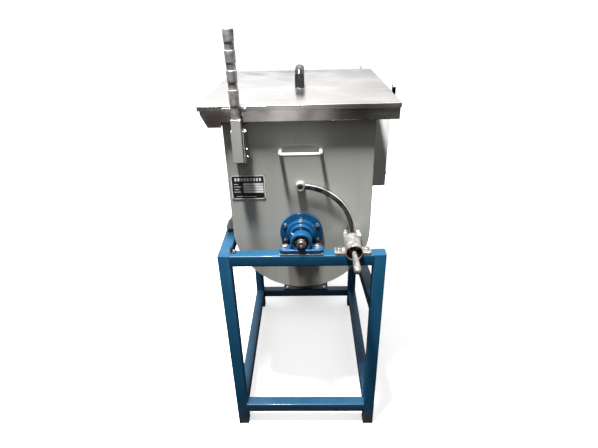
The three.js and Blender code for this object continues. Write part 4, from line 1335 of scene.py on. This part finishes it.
def button(node, name, finish, head, body, rise):
    """A domed cap on a stem that runs through the door."""
    x0, x1 = span(node)[0].x, span(node)[1].x
    y, z = middle(node).yz
    profile = [(0, x0), (STEM_R, x0), (STEM_R, x1 - rise), (head, x1 - rise), (head, x1 - 5),
               (head - 1.2, x1 - 2), (head - 4, x1 - 0.4), (0, x1)]
    piece(name, Form().turned(profile, aim((0, y, z), X), 56, 0.8), body, finish, [node])


def door_trim(face):
    """Plate under the isolator, and collars round the two buttons."""
    trim = Form()
    y, z = middle("isolator_knob").yz
    trim.prism(rectangle(27, 27, 4, 5), aim((face - GAP, y, z), X), 0.5)
    for node in ("start_button", "stop_button"):
        low, high = span(node)
        inner = (high.y - low.y) / 2 + 0.7
        y, z = middle(node).yz
        collar = [(inner, 0), (inner + 4, 0), (inner + 4, 1.4), (inner + 2, 3.4), (inner, 3.4), (inner, 0)]
        trim.turned(collar, aim((face, y, z), X), 48, 0.4)
    piece("button_collars", trim, "box_door", BLACK_PLASTIC)


def isolator(face):
    low, high = span("isolator_knob")
    y, z = middle("isolator_knob").yz
    knob = Form()
    knob.turned([(0, low.x), (5, low.x), (5, face + 0.4), (23, face + 0.4), (23, face + 4), (21, face + 6.5),
                 (17, face + 8.3), (0, face + 8.3)], aim((0, y, z), X), 64, 0.7)
    knob.slab(face + 4, high.x, y - 5.5, y + 5.5, z - 20, z + 20, 3)
    piece("isolator_handle", knob, "isolator", BLACK_PLASTIC, ["isolator_knob"],
          bevel=0.9, segments=3)


def door_fittings(low, high):
    """Three knuckle hinges and two slotted quarter-turn latches."""
    hinges, latch, face = Form(), Form(), high.x
    for z0 in (low.z + 50, (low.z + high.z) / 2 - 20, high.z - 90):
        for k in range(3):
            hinges.disc(5, k * 13.4, k * 13.4 + 13, Matrix.Translation((face, high.y, z0)), 28, 0.5)
        hinges.slab(low.x - 34, face - 1, high.y - 0.4, high.y + 1.6, z0 + 2, z0 + 38, 1)
    piece("door_hinges", hinges, "stand", BARE, bevel=0.4)
    for z0 in (low.z + 60, high.z - 60):
        where = aim((face, low.y + 16, z0), X)
        latch.turned([(0, -1), (9, -1), (9, 2.5), (7.5, 3.4), (0, 3.4)], where, 40, 0.4)
        latch.box(face + 3, face + 4.4, low.y + 10, low.y + 22, z0 - 1.1, z0 + 1.1)
    piece("door_latches", latch, "box_door", ZINC)


def cable_glands(door_x):
    box_low = span("control_box")[0]
    glands = Form()
    for y in (60, 110, 160):
        where = aim(((door_x + box_low.x) / 2, box_low.y + y, box_low.z), -Z)
        hex_head(glands, where, 22, 6)
        glands.turned([(0, 5), (9, 5), (9, 14), (7, 19), (4, 19), (4, 12), (0, 12)], where, 40, 0.6)
    piece("box_glands", glands, "stand", BLACK_PLASTIC)


def build_controls():
    keep("box_bracket", STAND_PAINT, 0.6)
    keep("control_box", BOX_PAINT, 1.0, 3)
    door_shell()
    low, high = span("control_door")
    door_trim(high.x)
    button("start_button", "start_cap", GREEN, 13, "start", 10.7)
    button("stop_button", "stop_cap", RED, 19, "stop", 19.7)
    isolator(high.x)
    door_fittings(low, high)
    cable_glands(low.x)


# ---------------------------------------------------------------- studio

WORLD_STRENGTH = 0.5
FLOOR_GLOW = 0.55
KEY_DIRECTION, KEY_DISTANCE, KEY_SIZE, KEY_WATTS = (-0.135, -0.29, 0.947), 3.0, (0.2, 0.5), 330

CAMERA_PLACE = (29.5, -1134.6, 1516.6)
CAMERA_LENS_MM, CAMERA_SENSOR_MM = 25.418, 36.0
CAMERA_PITCH, CAMERA_YAW, CAMERA_ROLL = 27.918, 1.738, -1.569


def make_camera():
    pitch, yaw, roll = (math.radians(a) for a in (CAMERA_PITCH, CAMERA_YAW, CAMERA_ROLL))
    right = Vector((math.cos(yaw), math.sin(yaw), 0))
    level = Vector((-math.sin(yaw), math.cos(yaw), 0))
    ahead = level * math.cos(pitch) - Z * math.sin(pitch)
    up = level * math.sin(pitch) + Z * math.cos(pitch)
    across = right * math.cos(roll) + up * math.sin(roll)
    upward = up * math.cos(roll) - right * math.sin(roll)
    data = bpy.data.cameras.new("camera")
    data.lens = CAMERA_LENS_MM
    data.sensor_width = CAMERA_SENSOR_MM
    data.clip_start, data.clip_end = 0.01, 200
    camera = bpy.data.objects.new("camera", data)
    turn = Matrix((across, upward, -ahead)).transposed().to_4x4()
    camera.matrix_world = Matrix.Translation(ORIGIN + Vector(CAMERA_PLACE) * MM) @ turn
    bpy.context.scene.collection.objects.link(camera)
    bpy.context.scene.camera = camera


def area_light(name, direction, distance, size, watts):
    """A rectangular lamp that looks at the middle of the object."""
    data = bpy.data.lights.new(name, "AREA")
    data.shape = "RECTANGLE"
    data.size, data.size_y = size
    data.energy = watts
    light = bpy.data.objects.new(name, data)
    aim_at = (cad_low + cad_high) / 2
    out = Vector(direction).normalized()
    across = Y.cross(out).normalized()
    turn = Matrix((across, out.cross(across), out)).transposed().to_4x4()
    light.matrix_world = Matrix.Translation(aim_at + out * distance) @ turn
    bpy.context.scene.collection.objects.link(light)


def make_floor():
    form = bmesh.new()
    bmesh.ops.create_grid(form, x_segments=4, y_segments=4, size=60)
    data = bpy.data.meshes.new("floor")
    form.to_mesh(data)
    form.free()
    floor = bpy.data.objects.new("floor", data)
    bpy.context.scene.collection.objects.link(floor)
    f = Finish("floor_pale")
    f.colour(f.mix(f.remap(f.noise(0.8, 3), 0.3, 0.7), (0.88, 0.88, 0.88), (0.9, 0.9, 0.9)))
    f.roughness(0.9)
    f.shader.inputs["Emission Color"].default_value = (1, 1, 1, 1)
    f.shader.inputs["Emission Strength"].default_value = FLOOR_GLOW
    floor.data.materials.append(f.material)
    floor.visible_glossy = False
    floor.visible_diffuse = False


def make_world():
    """White to the eye; for light it is bright overhead and behind, and dim low down in front."""
    world = bpy.data.worlds.new("studio")
    bpy.context.scene.world = world
    world.use_nodes = True
    world.node_tree.nodes.clear()
    w = Nodes(world.node_tree)
    place = w.node("ShaderNodeTexCoord").outputs["Generated"]
    parts = w.node("ShaderNodeSeparateXYZ", {0: place}).outputs

    def ramp(letter, *stops):
        """Colours along one direction, from -1 at 0 to 1 at 1; a single number is a grey."""
        share = w.node("ShaderNodeMath", {0: parts[letter], 1: 0.5, 2: 0.5}, operation="MULTIPLY_ADD")
        made = w.node("ShaderNodeValToRGB", {0: share.outputs[0]})
        table = made.color_ramp
        table.interpolation = "EASE"
        while len(table.elements) < len(stops):
            table.elements.new(0.5)
        for element, (at, colour) in zip(table.elements, stops):
            element.position = at
            element.color = (*(colour if isinstance(colour, tuple) else (colour,) * 3), 1)
        return made.outputs[0]

    sky = ramp("Z", (0.0, 0.04), (0.42, (0.1, 0.095, 0.09)), (0.5, 0.22), (0.7, 0.5), (0.85, 0.9), (1.0, 1.2))
    front = ramp("Y", (0.0, 1), (0.16, 0.7), (0.5, 0))
    across = ramp("X", (0.0, (0.1, 0.08, 0.075)), (0.41, (0.12, 0.1, 0.095)), (0.455, (1.9, 1.88, 1.85)),
                  (0.5, (1.6, 1.58, 1.56)), (0.53, (0.06, 0.055, 0.05)), (1.0, 0.1))
    strip = ramp("Z", (0.32, 0), (0.37, 1), (0.46, 1), (0.5, 0.3))
    across = w.mix(strip, (0.05, 0.047, 0.045), across)
    glow = ramp("X", (0.3, 2.4), (0.5, 2.2), (0.62, (1.55, 1.52, 1.5)))
    behind = w.mix(1.0, ramp("Y", (0.5, 0), (0.66, 1)), ramp("Z", (0.5, 0), (0.6, 1)), "MULTIPLY")
    low = ramp("Z", (0.0, 1), (0.5, 1), (0.64, 0))
    mask = w.mix(1.0, front, low, "MULTIPLY")
    lit = w.mix(behind, w.mix(mask, sky, across), glow)
    shown = w.node("ShaderNodeBackground", {"Color": lit, "Strength": WORLD_STRENGTH}).outputs[0]
    plain = w.node("ShaderNodeBackground", {"Color": (1, 1, 1)}).outputs[0]
    seen = w.node("ShaderNodeLightPath").outputs["Is Camera Ray"]
    both = w.node("ShaderNodeMixShader", {0: seen, 1: shown, 2: plain}).outputs[0]
    w.node("ShaderNodeOutputWorld", {0: both})


def build_studio():
    make_camera()
    make_floor()
    make_world()
    area_light("key", KEY_DIRECTION, KEY_DISTANCE, KEY_SIZE, KEY_WATTS)
    bpy.context.scene.view_settings.view_transform = "Standard"


# ---------------------------------------------------------------- build

build_studio()
build_stand()
build_bearings()
build_tank()
lid_sheet()
lid_handle()
build_agitator()
build_drive()
lock_housing()
lock_pull()
build_controls()
